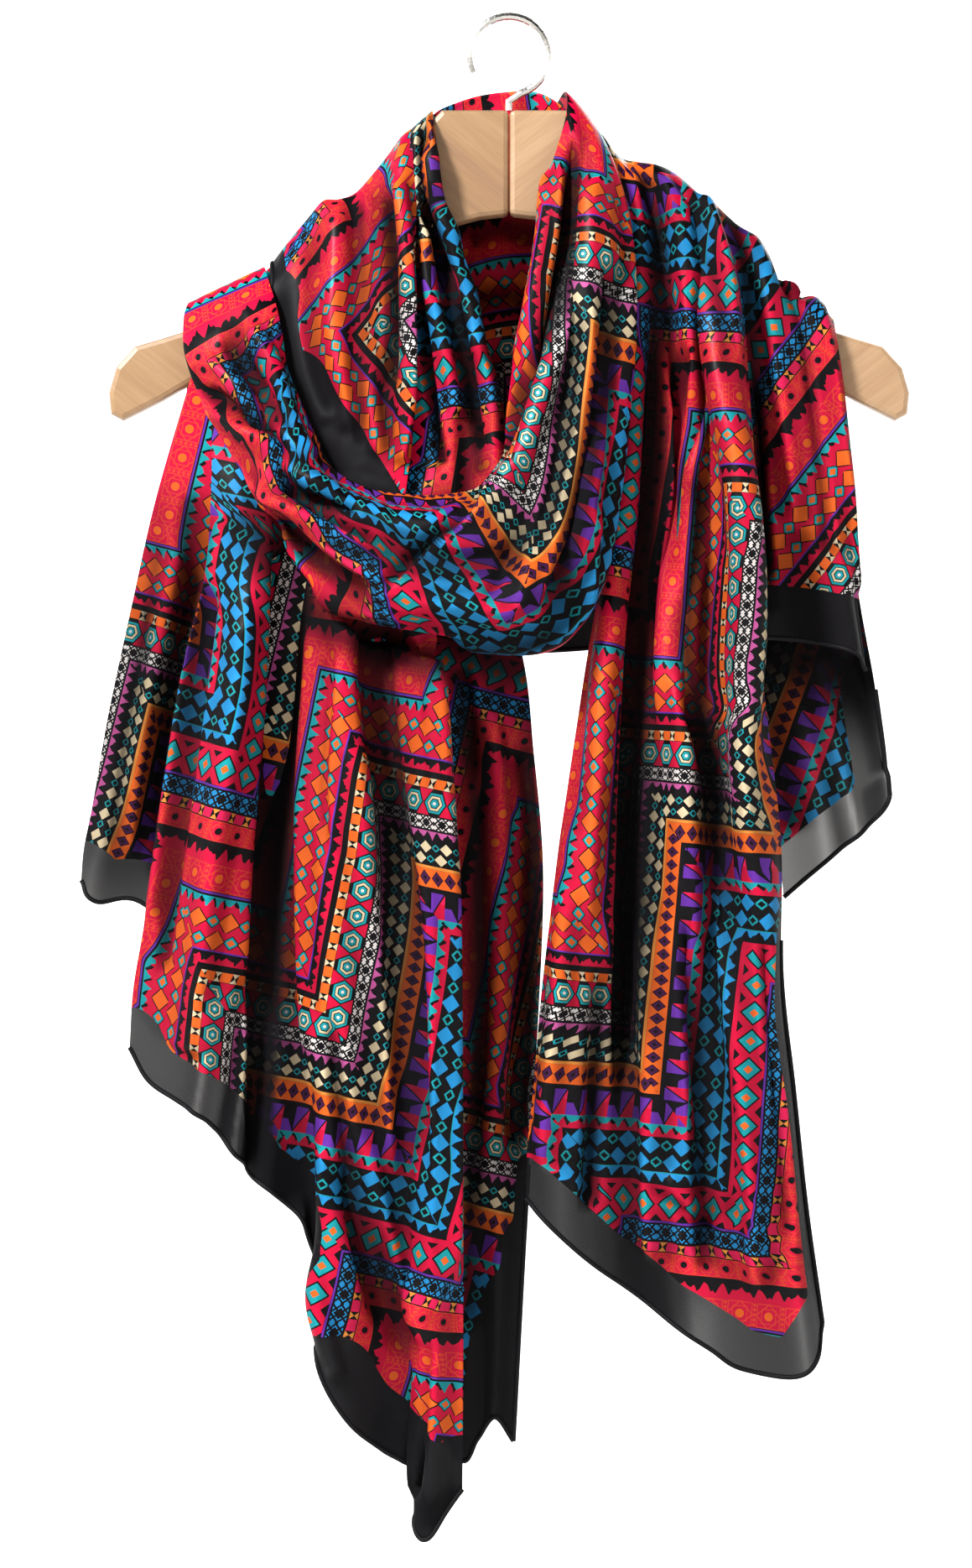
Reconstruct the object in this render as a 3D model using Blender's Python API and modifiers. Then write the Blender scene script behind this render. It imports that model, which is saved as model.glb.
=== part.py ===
"""Long printed scarf, wrapped once round the neck and draped on a wooden coat hanger.

Units are metres, +Z is up and the front faces -Y. The origin is the inside top of the
hook, where a rail would carry it. The tables are in millimetres.
"""

from collections import namedtuple
import math

import bmesh
import bpy
import numpy as np

MM = 0.001

# Driving sizes, in millimetres.
CLOTH_WALL = 1.5
SEAM_GAP = 0.3
HANGER_HALF_SPAN = 190.5
HANGER_THICKNESS = 11.0
HANGER_EDGE_ROUND = 2.5
BLOCK_TOP_Z = -43.6
HOOK_WIRE = 3.6
HOOK_INNER_RADIUS = 17.0
HOOK_STEM = 4.5
HOOK_TURN_FROM = -72.0  # degrees round the rail, from +X towards +Z
HOOK_TURN_TO = 205.0
HOOK_STEPS = 26

SATIN_ROUGHNESS = 0.42
BEECH_ROUGHNESS = 0.5
WIRE_ROUGHNESS = 0.25

# One row for each section across a stretch of cloth: its two edges as (x, y, z), and how
# far its middle stands out from the straight line between them.
Section = namedtuple("Section", "left right bulge")

# One row for each fold: where it lies across the stretch at both ends (0 to 1), its half
# width as a share of the stretch, its height (a valley is negative), and where it runs.
Fold = namedtuple("Fold", "at_start at_end half_width height begins ends")

NECK_BACK = [
    Section((-40, 9, -48.5), (31, 9, -48.5), -20),
    Section((-43, 10, -62.5), (36.5, 10, -62.5), -24),
    Section((-44, 11, -92.5), (39.5, 12, -92), -27),
    Section((-43, 12, -132.5), (40.5, 13, -132.5), -26),
    Section((-41, 13, -172.5), (40.5, 14, -172.5), -24),
    Section((-39, 14, -207), (37.5, 14, -207), -22),
]
NECK_BACK_TOP = [
    (-40, -47), (-34, -40), (-27, -35.5), (-15, -31), (-1, -29), (12, -29.5), (22, -35), (31, -45),
]
NECK_BACK_FOLDS = [
    Fold(0.5, 0.5, 0.3, 2.5, 0.0, 0.25),
    Fold(0.3, 0.2, 0.2, -2.5, 0.3, 1.0),
    Fold(0.7, 0.8, 0.2, 2.5, 0.3, 1.0),
]

NECK_LEFT = [
    Section((-48.5, 9.5, -57.5), (-42.5, 9, -50.5), 0),
    Section((-46.5, 3, -51.5), (-37, 3, -43), 1),
    Section((-47, -8, -59.5), (-36, -8, -49.5), 1),
    Section((-47.5, -9, -71.5), (-34, -11, -65), 2),
    Section((-47.5, -10.5, -87.5), (-31, -13, -86), 3),
    Section((-47.5, -12, -116), (-25, -16, -114.5), 3),
    Section((-47.5, -15, -152), (-13, -19, -150.5), 4),
    Section((-48.5, -20, -188), (-3, -24, -186.5), 4),
    Section((-51.5, -28, -240), (-1, -31, -234), 2),
]
NECK_LEFT_FOLDS = [
    Fold(0.80, 0.88, 0.16, 4, 0.15, 1.0),
    Fold(0.50, 0.62, 0.14, -4, 0.2, 1.0),
    Fold(0.28, 0.38, 0.18, 3, 0.2, 0.9),
]

SHOULDER_LEFT = [
    Section((-111.5, 9.5, -122.5), (-51.5, 9.5, -61), 0),
    Section((-113, 3, -115.5), (-50, 3, -54), 1),
    Section((-112.5, -8.5, -126), (-48.5, -14, -72), 2),
    Section((-113.5, -12, -147.5), (-45.5, -19, -101), 4),
    Section((-109, -15, -169.5), (-45.5, -23, -135), 5),
    Section((-99, -20, -192), (-45.5, -27, -165), 4),
    Section((-85, -25, -214), (-45.5, -32, -200), 3),
    Section((-71, -31, -238), (-50, -35, -240), 1),
]
SHOULDER_LEFT_CREST = [
    (-113, -115.5), (-105, -105), (-97, -95.5), (-89, -86.5), (-81.5, -86), (-73.5, -82.5),
    (-66, -74.5), (-58, -64.5), (-50, -54),
]
SHOULDER_LEFT_FOLDS = [
    Fold(0.42, 0.45, 0.16, 3, 0.1, 0.8),
    Fold(0.68, 0.70, 0.14, -3, 0.15, 0.9),
    Fold(0.90, 0.88, 0.12, 3, 0.15, 0.9),
]

COWL = [
    Section((21.5, 31, -37.5), (41.5, 24, -54), 0),
    Section((27, 9, -32.5), (38.5, 8, -44.5), 3),
    Section((27, -9, -47.5), (47, -13, -64), 4),
    Section((19.5, -16, -74.5), (55, -21, -89.5), 10),
    Section((13.5, -22, -102.5), (59, -28, -118), 14),
    Section((7.5, -26, -131.5), (59.5, -33, -152), 17),
    Section((2, -30, -165.5), (56.5, -37, -189.5), 19),
    Section((-3, -33, -198), (52.5, -40, -227), 21),
    Section((-12, -36, -223), (44.5, -43, -269.5), 24),
    Section((-28.5, -38, -229), (23, -45, -300.5), 27),
    Section((-50, -39, -229), (-13, -45, -303.5), 28),
    Section((-69.5, -37, -225), (-49, -45, -295), 26),
    Section((-86.5, -34, -213), (-81, -43, -281), 22),
    Section((-96.5, -30, -195), (-106, -39, -253.5), 18),
    Section((-103.5, -26, -175), (-124, -33, -220.5), 14),
    Section((-107, -22, -152.5), (-142, -26, -189.5), 10),
    Section((-110, -19, -138.5), (-152.5, -19, -164), 6),
    Section((-113.5, -12, -127.5), (-154.5, -9, -145), 3),
    Section((-117, 3, -117.5), (-153, 3, -134.5), 1),
    Section((-119.5, 9.5, -123.5), (-152, 9.5, -140), 0),
]
COWL_FOLDS = [
    Fold(0.22, 0.30, 0.15, 4, 0.08, 0.85),
    Fold(0.42, 0.48, 0.14, -5, 0.08, 0.90),
    Fold(0.62, 0.66, 0.15, 4, 0.08, 0.85),
    Fold(0.85, 0.84, 0.12, -3, 0.10, 0.80),
]

TAIL_LEFT = [
    Section((-140.5, -17, -194.5), (-42.5, -32, -272), 1),
    Section((-140.5, -21, -225), (-36.5, -32, -288), 3),
    Section((-143, -24, -263.5), (-30.5, -34, -312), 5),
    Section((-154, -26, -318.5), (-26.5, -38, -370), 7),
    Section((-163.5, -27, -374), (-24.5, -40, -440), 7),
    Section((-171.5, -27, -427), (-22.5, -38, -522.5), 5),
    Section((-177.5, -26, -460.5), (-22, -36, -609), 4),
    Section((-179.5, -25, -488), (-22.5, -34, -692), 2),
]
TAIL_LEFT_HEM = [
    (-178.5, -488), (-169, -503), (-154.5, -512), (-140, -521), (-127, -537.5),
    (-114, -553), (-102.5, -566.5), (-95, -584), (-91, -613.5), (-86.5, -641),
    (-74, -663), (-60, -677), (-46, -687.5), (-44, -711), (-38.5, -715.5), (-30.5, -705),
    (-22, -694),
]
TAIL_LEFT_FOLDS = [
    Fold(0.22, 0.18, 0.20, 9, 0.05, 1.0),
    Fold(0.40, 0.42, 0.14, -12, 0.05, 1.0),
    Fold(0.58, 0.58, 0.12, 6, 0.08, 1.0),
    Fold(0.75, 0.72, 0.11, -7, 0.08, 1.0),
    Fold(0.92, 0.88, 0.11, 8, 0.18, 1.0),
]

TAIL_LEFT_BACK = [
    Section((-154, -11, -185), (-19, -15, -239), 0),
    Section((-167.5, -10, -229), (5, -14, -298.5), 1),
    Section((-179, -9, -279.5), (12, -12, -354), 2),
    Section((-190, -8, -330), (16, -10, -406), 3),
    Section((-198, -7, -374), (14, -9, -469.5), 3),
    Section((-202.5, -6, -395), (8, -9, -565), 2),
    Section((-204, -5, -410), (2, -8, -675.5), 1),
]
TAIL_LEFT_BACK_HEM = [
    (-203.5, -410), (-196, -420), (-172, -423), (-130.5, -473.5), (-83, -562),
    (-45, -640), (-24, -684), (-15, -675), (-7, -664), (2, -676),
]
TAIL_LEFT_BACK_FOLDS = [
    Fold(0.06, 0.08, 0.08, 3, 0.1, 1.0),
    Fold(0.18, 0.20, 0.10, -4, 0.1, 1.0),
    Fold(0.40, 0.42, 0.12, 3, 0.1, 1.0),
    Fold(0.84, 0.88, 0.08, 4, 0.1, 1.0),
]

TAIL_RIGHT = [
    Section((45.5, 9.5, -58.5), (96.5, 9.5, -92.5), 0),
    Section((44, 3, -53.5), (98, 3, -87.5), 1),
    Section((47.5, -7.5, -61.5), (99, -8, -92.5), 1),
    Section((49.5, -11.5, -74), (101, -12, -100.5), 2),
    Section((53.5, -14, -120), (109, -18, -130.5), 6),
    Section((55.5, -15, -167.5), (112.5, -24, -176.5), 7),
    Section((51.5, -17, -231.5), (116, -30, -236), 8),
    Section((39.5, -21, -289), (116.5, -34, -295.5), 8),
    Section((31.5, -26, -338.5), (121, -36, -338.5), 8),
    Section((23.5, -28, -393.5), (127, -36, -393.5), 8),
    Section((15.5, -28, -458.5), (127.5, -34, -454), 8),
    Section((11.5, -27, -505), (133.5, -32, -507.5), 6),
    Section((8.5, -26, -534), (139.5, -30, -562), 4),
    Section((7.5, -26, -559), (147.5, -28, -618), 3),
]
TAIL_RIGHT_CREST = [
    (44, -54), (53, -65), (62, -67.5), (71, -69), (80, -73.5), (89, -81.5), (98, -87.5),
]
TAIL_RIGHT_HEM = [
    (7.5, -558.5), (17.5, -569), (36, -586), (55, -601.5), (74.5, -616.5), (94, -629),
    (108, -638), (130.5, -641), (142, -634), (147, -617.5),
]
TAIL_RIGHT_FOLDS = [
    Fold(0.14, 0.16, 0.16, 6, 0.30, 1.0),
    Fold(0.34, 0.38, 0.14, -9, 0.12, 1.0),
    Fold(0.50, 0.56, 0.12, 5, 0.12, 0.9),
    Fold(0.64, 0.70, 0.12, -9, 0.15, 0.85),
    Fold(0.86, 0.84, 0.16, 10, 0.10, 1.0),
]

SHOULDER_RIGHT = [
    Section((103.5, 9.5, -94.5), (152, 9.5, -147), 0),
    Section((101, 3, -89.5), (154.5, 3, -141.5), 1),
    Section((103.5, -9, -101.5), (155, -9, -153), 2),
    Section((109, -11, -143.5), (158, -11, -179), 4),
    Section((113, -13, -191.5), (161, -12, -215), 5),
    Section((116, -15, -239), (163, -12, -251), 5),
    Section((117, -16, -271), (166, -12, -282.5), 4),
    Section((118, -16, -294.5), (170, -12, -310.5), 3),
]
SHOULDER_RIGHT_CREST = [
    (101, -89), (110, -98), (119, -112), (128, -124), (136.5, -131.5), (145.5, -134.5), (154.5, -142),
]
SHOULDER_RIGHT_HEM = [(117.5, -294.5), (139.5, -296.5), (155.5, -299.5), (163.5, -303.5), (169, -310.5)]
SHOULDER_RIGHT_FOLDS = [
    Fold(0.30, 0.30, 0.25, -3, 0.15, 1.0),
    Fold(0.68, 0.70, 0.25, 4, 0.15, 1.0),
]

WING_RIGHT = [
    Section((109.5, 10, -149), (157, 10, -157), 0),
    Section((113.5, 8, -205.5), (162, 9, -201), 1),
    Section((117, 3, -266), (165.5, 5, -261.5), 2),
    Section((122, -2, -326), (175, 1, -319), 3),
    Section((126.5, -5, -378), (180, -1, -350), 2),
    Section((130.5, -6, -418), (182, -2, -370), 1),
]
WING_RIGHT_HEM = [(130.5, -418), (145.5, -405), (159.5, -393), (177.5, -378), (181.5, -370)]
WING_RIGHT_FOLDS = [
    Fold(0.30, 0.35, 0.25, 3, 0.2, 1.0),
    Fold(0.70, 0.72, 0.22, -3, 0.2, 1.0),
]

# The left edge of the back drape is its top, and its right edge is its lower rim.
BACK_DRAPE = [
    Section((-152, 13, -136.5), (-158, 11, -223), 0),
    Section((-124, 17, -122.5), (-129.5, 26, -266.5), 0),
    Section((-84, 24, -88.5), (-85.5, 40, -290.5), 0),
    Section((-41.5, 40, -63.5), (-30.5, 52, -298), 0),
    Section((1.5, 49, -57.5), (31.5, 56, -298), 0),
    Section((42, 40, -61.5), (86.5, 50, -290), 0),
    Section((88.5, 23, -80.5), (131.5, 34, -276.5), 0),
    Section((128.5, 17, -126.5), (153, 22, -232.5), 0),
    Section((155.5, 14, -147.5), (163.5, 15, -200.5), 0),
]
BACK_DRAPE_FOLDS = [
    Fold(0.08, 0.08, 0.08, -4, 0.05, 0.95),
    Fold(0.30, 0.25, 0.12, -6, 0.05, 0.95),
    Fold(0.52, 0.50, 0.10, 4, 0.05, 0.95),
    Fold(0.72, 0.75, 0.12, -6, 0.05, 0.95),
    Fold(0.90, 0.92, 0.08, 4, 0.05, 0.95),
]

# Half of the hanger's front outline, from the block's top centre round to its arch.
ARM_OUTLINE = [
    (0, BLOCK_TOP_Z), (32, BLOCK_TOP_Z), (39, -51), (46, -64), (52, -74), (80, -96),
    (112, -124.5), (136, -140), (150, -147.5), (166, -152.5), (178, -156), (187, -166),
    (HANGER_HALF_SPAN, -178), (189.5, -188), (184, -191), (166, -182), (100, -143),
    (60, -115), (33, -100), (14, -95), (0, -93.5),
]

# Colours are linear values of what the photo shows.
COLOURS = {
    "crimson": (0.42, 0.014, 0.035, 1.0),
    "red": (0.62, 0.03, 0.025, 1.0),
    "orange": (0.62, 0.13, 0.02, 1.0),
    "blue": (0.03, 0.14, 0.34, 1.0),
    "teal": (0.01, 0.17, 0.18, 1.0),
    "navy": (0.012, 0.018, 0.06, 1.0),
    "black": (0.008, 0.008, 0.012, 1.0),
    "plum": (0.09, 0.015, 0.11, 1.0),
    "wood": (0.47, 0.26, 0.12, 1.0),
    "steel": (0.78, 0.78, 0.77, 1.0),
}


def clear_scene():
    for old in list(bpy.data.objects):
        bpy.data.objects.remove(old, do_unlink=True)


def make_material(name, colour, roughness, metallic=0.0):
    material = bpy.data.materials.new(name)
    material.use_nodes = True
    shader = material.node_tree.nodes["Principled BSDF"]
    shader.inputs["Base Color"].default_value = COLOURS[colour]
    shader.inputs["Roughness"].default_value = roughness
    shader.inputs["Metallic"].default_value = metallic
    return material


def spline(points, samples):
    """The Catmull-Rom curve through the points, at sample places from 0 to 1."""
    points = np.asarray(points, float)
    padded = np.vstack([2 * points[0] - points[1], points, 2 * points[-1] - points[-2]])
    place = np.clip(samples, 0, 1) * (len(points) - 1)
    span = np.minimum(place.astype(int), len(points) - 2)
    part = (place - span)[:, None]
    before, start, end, after = (padded[span + step] for step in range(4))
    return 0.5 * (
        2 * start
        + (end - before) * part
        + (2 * before - 5 * start + 4 * end - after) * part**2
        + (3 * start - 3 * end + after - before) * part**3
    )


def smooth_step(low, high, value):
    share = np.clip((value - low) / (high - low), 0, 1)
    return share * share * (3 - 2 * share)


def section_grid(sections, across, along, curl):
    """Points (along, across, xyz) of the plain stretch. Its curl, from 0 to 1, turns the
    edges back as on a rolled swag."""
    left = spline([row.left for row in sections], along)
    right = spline([row.right for row in sections], along)
    bulge = spline([(row.bulge,) for row in sections], along)
    share = (1 - curl) * across + curl * (1 - np.cos(math.pi * across)) / 2
    stand = (1 - curl) * 4 * across * (1 - across) + curl * np.sin(math.pi * across)
    grid = left[:, None] + (right - left)[:, None] * share[None, :, None]
    grid[:, :, 1] -= bulge * stand[None, :]
    return grid


def follow_outline(grid, outline, across, along, place, reach):
    """Moves the row at one place along the grid onto an outline in x and z, and the rows
    within its reach with it."""
    row = int(np.argmin(np.abs(along - place)))
    shift = spline(outline, across) - grid[row][:, [0, 2]]
    weight = 1 - smooth_step(0, reach, np.abs(along - along[row]))
    grid[:, :, 0] += weight[:, None] * shift[None, :, 0]
    grid[:, :, 2] += weight[:, None] * shift[None, :, 1]


def add_folds(grid, folds, across, along):
    """Lifts the ridges and sinks the valleys along the stretch's own normals."""
    down = np.gradient(grid, axis=0)
    over = np.gradient(grid, axis=1)
    normal = np.cross(down, over)
    normal /= np.linalg.norm(normal, axis=2, keepdims=True)
    height = np.zeros(grid.shape[:2])
    for fold in folds:
        centre = fold.at_start + (fold.at_end - fold.at_start) * along
        offset = np.abs(across[None, :] - centre[:, None]) / fold.half_width
        shape = 0.5 + 0.5 * np.cos(math.pi * np.clip(offset, 0, 1))
        run = smooth_step(fold.begins, fold.begins + 0.15, along)
        if fold.ends < 1:
            run = run * (1 - smooth_step(fold.ends - 0.15, fold.ends, along))
        height += fold.height * shape * run[:, None]
    outward = np.where(normal[:, :, 1:2] > 0, -normal, normal)
    return grid + outward * height[:, :, None]


def grid_mesh(name, grid):
    """A single-layer mesh over the grid, in metres."""
    mesh = bpy.data.meshes.new(name)
    build = bmesh.new()
    verts = [[build.verts.new(point * MM) for point in row] for row in grid]
    for upper, lower in zip(verts, verts[1:]):
        for a, b, c, d in zip(upper, upper[1:], lower[1:], lower):
            build.faces.new((a, b, c, d))
    bmesh.ops.recalc_face_normals(build, faces=build.faces)
    build.to_mesh(mesh)
    build.free()
    for face in mesh.polygons:
        face.use_smooth = True
    return mesh


def cloth(name, sections, folds, cells, colour, top=None, crest=None, hem=None, curl=0.15):
    """One stretch of the scarf: a shell of even wall through its sections and folds."""
    across = np.linspace(0, 1, cells[0] + 1)
    along = np.linspace(0, 1, cells[1] + 1)
    grid = section_grid(sections, across, along, curl)
    if top:
        follow_outline(grid, top, across, along, place=0, reach=0.3)
    if crest:
        follow_outline(grid, crest, across, along, place=1 / (len(sections) - 1), reach=0.25)
    if hem:
        follow_outline(grid, hem, across, along, place=1, reach=0.55)
    grid = add_folds(grid, folds, across, along)
    piece = bpy.data.objects.new(name, grid_mesh(name, grid))
    wall = piece.modifiers.new("wall", "SOLIDIFY")
    wall.thickness = CLOTH_WALL * MM
    wall.offset = 0.0
    piece.data.materials.append(make_material(name + "_satin", colour, SATIN_ROUGHNESS))
    scarf.objects.link(piece)
    return piece


def hanger_arm(name, side):
    """Half of the hanger, up to the joint down the middle of its block."""
    profile = [(max(x, SEAM_GAP / 2) * side * MM, z * MM) for x, z in ARM_OUTLINE]
    build = bmesh.new()
    half = HANGER_THICKNESS / 2 * MM
    ring = [build.verts.new((x, -half, z)) for x, z in profile]
    face = build.faces.new(ring)
    grown = bmesh.ops.extrude_face_region(build, geom=[face])
    moved = [item for item in grown["geom"] if isinstance(item, bmesh.types.BMVert)]
    bmesh.ops.translate(build, verts=moved, vec=(0, 2 * half, 0))
    bmesh.ops.recalc_face_normals(build, faces=build.faces)
    mesh = bpy.data.meshes.new(name)
    build.to_mesh(mesh)
    build.free()
    arm = bpy.data.objects.new(name, mesh)
    edge_round = arm.modifiers.new("rounded edges", "BEVEL")
    edge_round.width = HANGER_EDGE_ROUND * MM
    edge_round.segments = 2
    edge_round.limit_method = "ANGLE"
    edge_round.angle_limit = math.radians(60)
    arm.data.materials.append(make_material(name + "_beech", "wood", BEECH_ROUGHNESS))
    scarf.objects.link(arm)
    return arm


def hook():
    """The wire hook: a stem, then most of a turn round the rail's place."""
    wire_radius = HOOK_WIRE / 2
    turn = HOOK_INNER_RADIUS + wire_radius
    centre_z = -HOOK_INNER_RADIUS
    bottom = BLOCK_TOP_Z + SEAM_GAP
    points = [(0, bottom), (0, bottom + HOOK_STEM)]
    for degrees in np.linspace(HOOK_TURN_FROM, HOOK_TURN_TO, HOOK_STEPS + 1):
        angle = math.radians(degrees)
        points.append((turn * math.cos(angle), centre_z + turn * math.sin(angle)))
    curve = bpy.data.curves.new("hook", "CURVE")
    curve.dimensions = "3D"
    curve.bevel_depth = wire_radius * MM
    curve.bevel_resolution = 2
    curve.use_fill_caps = True
    path = curve.splines.new("POLY")
    path.points.add(len(points) - 1)
    for point, (x, z) in zip(path.points, points):
        point.co = (x * MM, 0, z * MM, 1)
    wire = bpy.data.objects.new("hook", curve)
    curve.materials.append(make_material("hook_wire", "steel", WIRE_ROUGHNESS, metallic=1.0))
    scarf.objects.link(wire)
    return wire


clear_scene()
scarf = bpy.data.collections.new("long_scarf_on_hanger")
bpy.context.scene.collection.children.link(scarf)

hanger_arm("hanger_arm_left", side=-1)
hanger_arm("hanger_arm_right", side=1)
hook()

cloth("neck_back", NECK_BACK, NECK_BACK_FOLDS, (12, 8), "plum", top=NECK_BACK_TOP)
cloth("neck_left", NECK_LEFT, NECK_LEFT_FOLDS, (10, 14), "orange")
cloth(
    "shoulder_left", SHOULDER_LEFT, SHOULDER_LEFT_FOLDS, (12, 14), "crimson",
    crest=SHOULDER_LEFT_CREST,
)
cloth("cowl", COWL, COWL_FOLDS, (14, 38), "red", curl=0.6)
cloth("tail_left", TAIL_LEFT, TAIL_LEFT_FOLDS, (22, 18), "orange", hem=TAIL_LEFT_HEM)
cloth(
    "tail_left_back", TAIL_LEFT_BACK, TAIL_LEFT_BACK_FOLDS, (20, 14), "navy",
    hem=TAIL_LEFT_BACK_HEM,
)
cloth(
    "tail_right", TAIL_RIGHT, TAIL_RIGHT_FOLDS, (20, 26), "blue",
    crest=TAIL_RIGHT_CREST, hem=TAIL_RIGHT_HEM,
)
cloth(
    "shoulder_right", SHOULDER_RIGHT, SHOULDER_RIGHT_FOLDS, (10, 14), "red",
    crest=SHOULDER_RIGHT_CREST, hem=SHOULDER_RIGHT_HEM,
)
cloth("wing_right", WING_RIGHT, WING_RIGHT_FOLDS, (10, 10), "teal", hem=WING_RIGHT_HEM)
cloth("back_drape", BACK_DRAPE, BACK_DRAPE_FOLDS, (14, 26), "crimson")
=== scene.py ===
# Long printed satin scarf, wrapped once and draped on a wooden coat hanger.
# Millimetres in the tables, metres in the meshes, +Z up, front towards -Y.
import math
from types import SimpleNamespace

import bpy
import numpy as np
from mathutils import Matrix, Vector


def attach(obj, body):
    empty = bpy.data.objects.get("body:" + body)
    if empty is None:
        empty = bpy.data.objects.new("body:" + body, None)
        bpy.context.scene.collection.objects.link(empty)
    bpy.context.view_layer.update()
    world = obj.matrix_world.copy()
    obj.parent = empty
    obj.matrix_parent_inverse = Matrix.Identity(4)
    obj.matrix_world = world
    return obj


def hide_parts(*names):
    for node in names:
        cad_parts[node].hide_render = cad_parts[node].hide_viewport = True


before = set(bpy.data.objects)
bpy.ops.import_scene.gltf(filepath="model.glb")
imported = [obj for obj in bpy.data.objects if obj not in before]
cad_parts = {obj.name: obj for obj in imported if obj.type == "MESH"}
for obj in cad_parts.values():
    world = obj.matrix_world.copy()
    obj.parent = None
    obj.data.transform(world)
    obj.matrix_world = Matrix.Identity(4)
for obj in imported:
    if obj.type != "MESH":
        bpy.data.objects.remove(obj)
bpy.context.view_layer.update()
mm = 0.001
print("frame loaded:", len(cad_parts), "solids")


def splineThrough(points, samples):
    # Catmull-Rom through evenly counted points, samples from 0 to 1
    points = np.asarray(points, float)
    padded = np.vstack([2 * points[0] - points[1], points, 2 * points[-1] - points[-2]])
    place = np.clip(samples, 0, 1) * (len(points) - 1)
    span = np.minimum(place.astype(int), len(points) - 2)
    part = (place - span)[:, None]
    before, start, end, after = (padded[span + step] for step in range(4))
    return 0.5 * (
        2 * start
        + (end - before) * part
        + (2 * before - 5 * start + 4 * end - after) * part**2
        + (3 * start - 3 * end + after - before) * part**3
    )


def smoothStep(low, high, value):
    share = np.clip((value - low) / (high - low), 0, 1)
    return share * share * (3 - 2 * share)


def roundedRidge(offset):
    # the height of a ridge, from 1 on its line to 0 at its half width
    return 0.5 + 0.5 * np.cos(math.pi * np.clip(offset, 0, 1))


# What the stretches of the scarf share. A stretch may give its own value.
everyStretch = {
    # wall in mm, and how far the cross-section is a half circle rather than a low arch
    "wall": 0.4, "curl": 0.15,
    # the share of a stretch over which a long fold fades in and out
    "foldFade": 0.15,
    # both ends of a crease fade over this share of its run, and it is drawn in so many steps
    "creaseFade": (0.1, 0.1), "creaseSteps": 24,
    # how far the top edge, the crest and the hem pull the rows beside them along
    "topReach": 0.3, "crestReach": 0.25, "hemReach": 0.55,
    # painted shade in the folds: how much the depth counts, and how many points away it is looked for
    "foldGain": 2.6, "foldReach": 24,
    # mm from a cut edge where there is none, and the points that an edge is measured at
    "edgeFar": 400.0, "edgeSamples": 240,
    # how much of the white behind it the cloth lets through, and where it lies single
    "film": 0.0, "single": [], "singleCore": 0.6,
    # whether it hangs as a tail, and the share by which a bend is evened out on the bias
    "hangs": False, "even": 0.0,
    # the shade rows are painted shadows along given lines
    "free": [], "shade": [], "top": None, "crest": None, "hem": None,
}


def sectionGrid(sections, across, along, curl):
    left = splineThrough([row[0] for row in sections], along)
    right = splineThrough([row[1] for row in sections], along)
    bulge = splineThrough([(row[2],) for row in sections], along)
    share = (1 - curl) * across + curl * (1 - np.cos(math.pi * across)) / 2
    stand = (1 - curl) * 4 * across * (1 - across) + curl * np.sin(math.pi * across)
    grid = left[:, None] + (right - left)[:, None] * share[None, :, None]
    grid[:, :, 1] -= bulge * stand[None, :]
    return grid


def followOutline(grid, outline, across, along, place, reach):
    # the row at this place goes onto the outline, and the rows in reach go with it
    row = int(np.argmin(np.abs(along - place)))
    shift = splineThrough(outline, across) - grid[row][:, [0, 2]]
    weight = 1 - smoothStep(0, reach, np.abs(along - along[row]))
    grid[:, :, 0] += weight[:, None] * shift[None, :, 0]
    grid[:, :, 2] += weight[:, None] * shift[None, :, 1]


def raised(grid, height):
    # the grid with each point moved out to the front by its height
    normal = np.cross(np.gradient(grid, axis=0), np.gradient(grid, axis=1))
    normal /= np.linalg.norm(normal, axis=2, keepdims=True)
    normal = np.where(normal[:, :, 1:2] > 0, -normal, normal)
    return grid + normal * height[:, :, None]


def foldField(grid, piece, across, along):
    # long folds: place at both ends, half width (shares of the stretch), height, run
    height = np.zeros(grid.shape[:2])
    fade = piece["foldFade"]
    for startAt, endAt, halfWidth, rise, begins, ends in piece["folds"]:
        centre = startAt + (endAt - startAt) * along
        shape = roundedRidge(np.abs(across[None, :] - centre[:, None]) / halfWidth)
        run = smoothStep(begins, begins + fade, along)
        if ends < 1:
            run = run * (1 - smoothStep(ends - fade, ends, along))
        height += rise * shape * run[:, None]
    return height


def creaseField(grid, creases, piece):
    # creases given as points in x and z, half widths on the two sides of the run,
    # height (a valley is negative), and the shares over which both ends fade
    height = np.zeros(grid.shape[:2])
    place = grid[:, :, None, [0, 2]]
    for points, widthA, widthB, rise, *fades in creases:
        fadeIn, fadeOut = fades or piece["creaseFade"]
        line = splineThrough(points, np.linspace(0, 1, piece["creaseSteps"] + 1))
        start, span = line[:-1], np.diff(line, axis=0)
        offset = place - start
        share = np.clip((offset * span).sum(-1) / (span**2).sum(-1), 0, 1)
        gap = offset - share[..., None] * span
        distance = np.linalg.norm(gap, axis=-1)
        side = gap[..., 0] * span[:, 1] - gap[..., 1] * span[:, 0]
        near = distance.argmin(-1)[..., None]
        side, distance, share = (
            np.take_along_axis(field, near, -1)[..., 0] for field in (side, distance, share)
        )
        run = (near[..., 0] + share) / len(span)
        shape = roundedRidge(distance / np.where(side > 0, widthA, widthB))
        fade = np.ones_like(run)
        if fadeIn:
            fade = smoothStep(0, fadeIn, run)
        if fadeOut:
            fade = fade * (1 - smoothStep(1 - fadeOut, 1, run))
        height += rise * shape * fade
    return height


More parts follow.
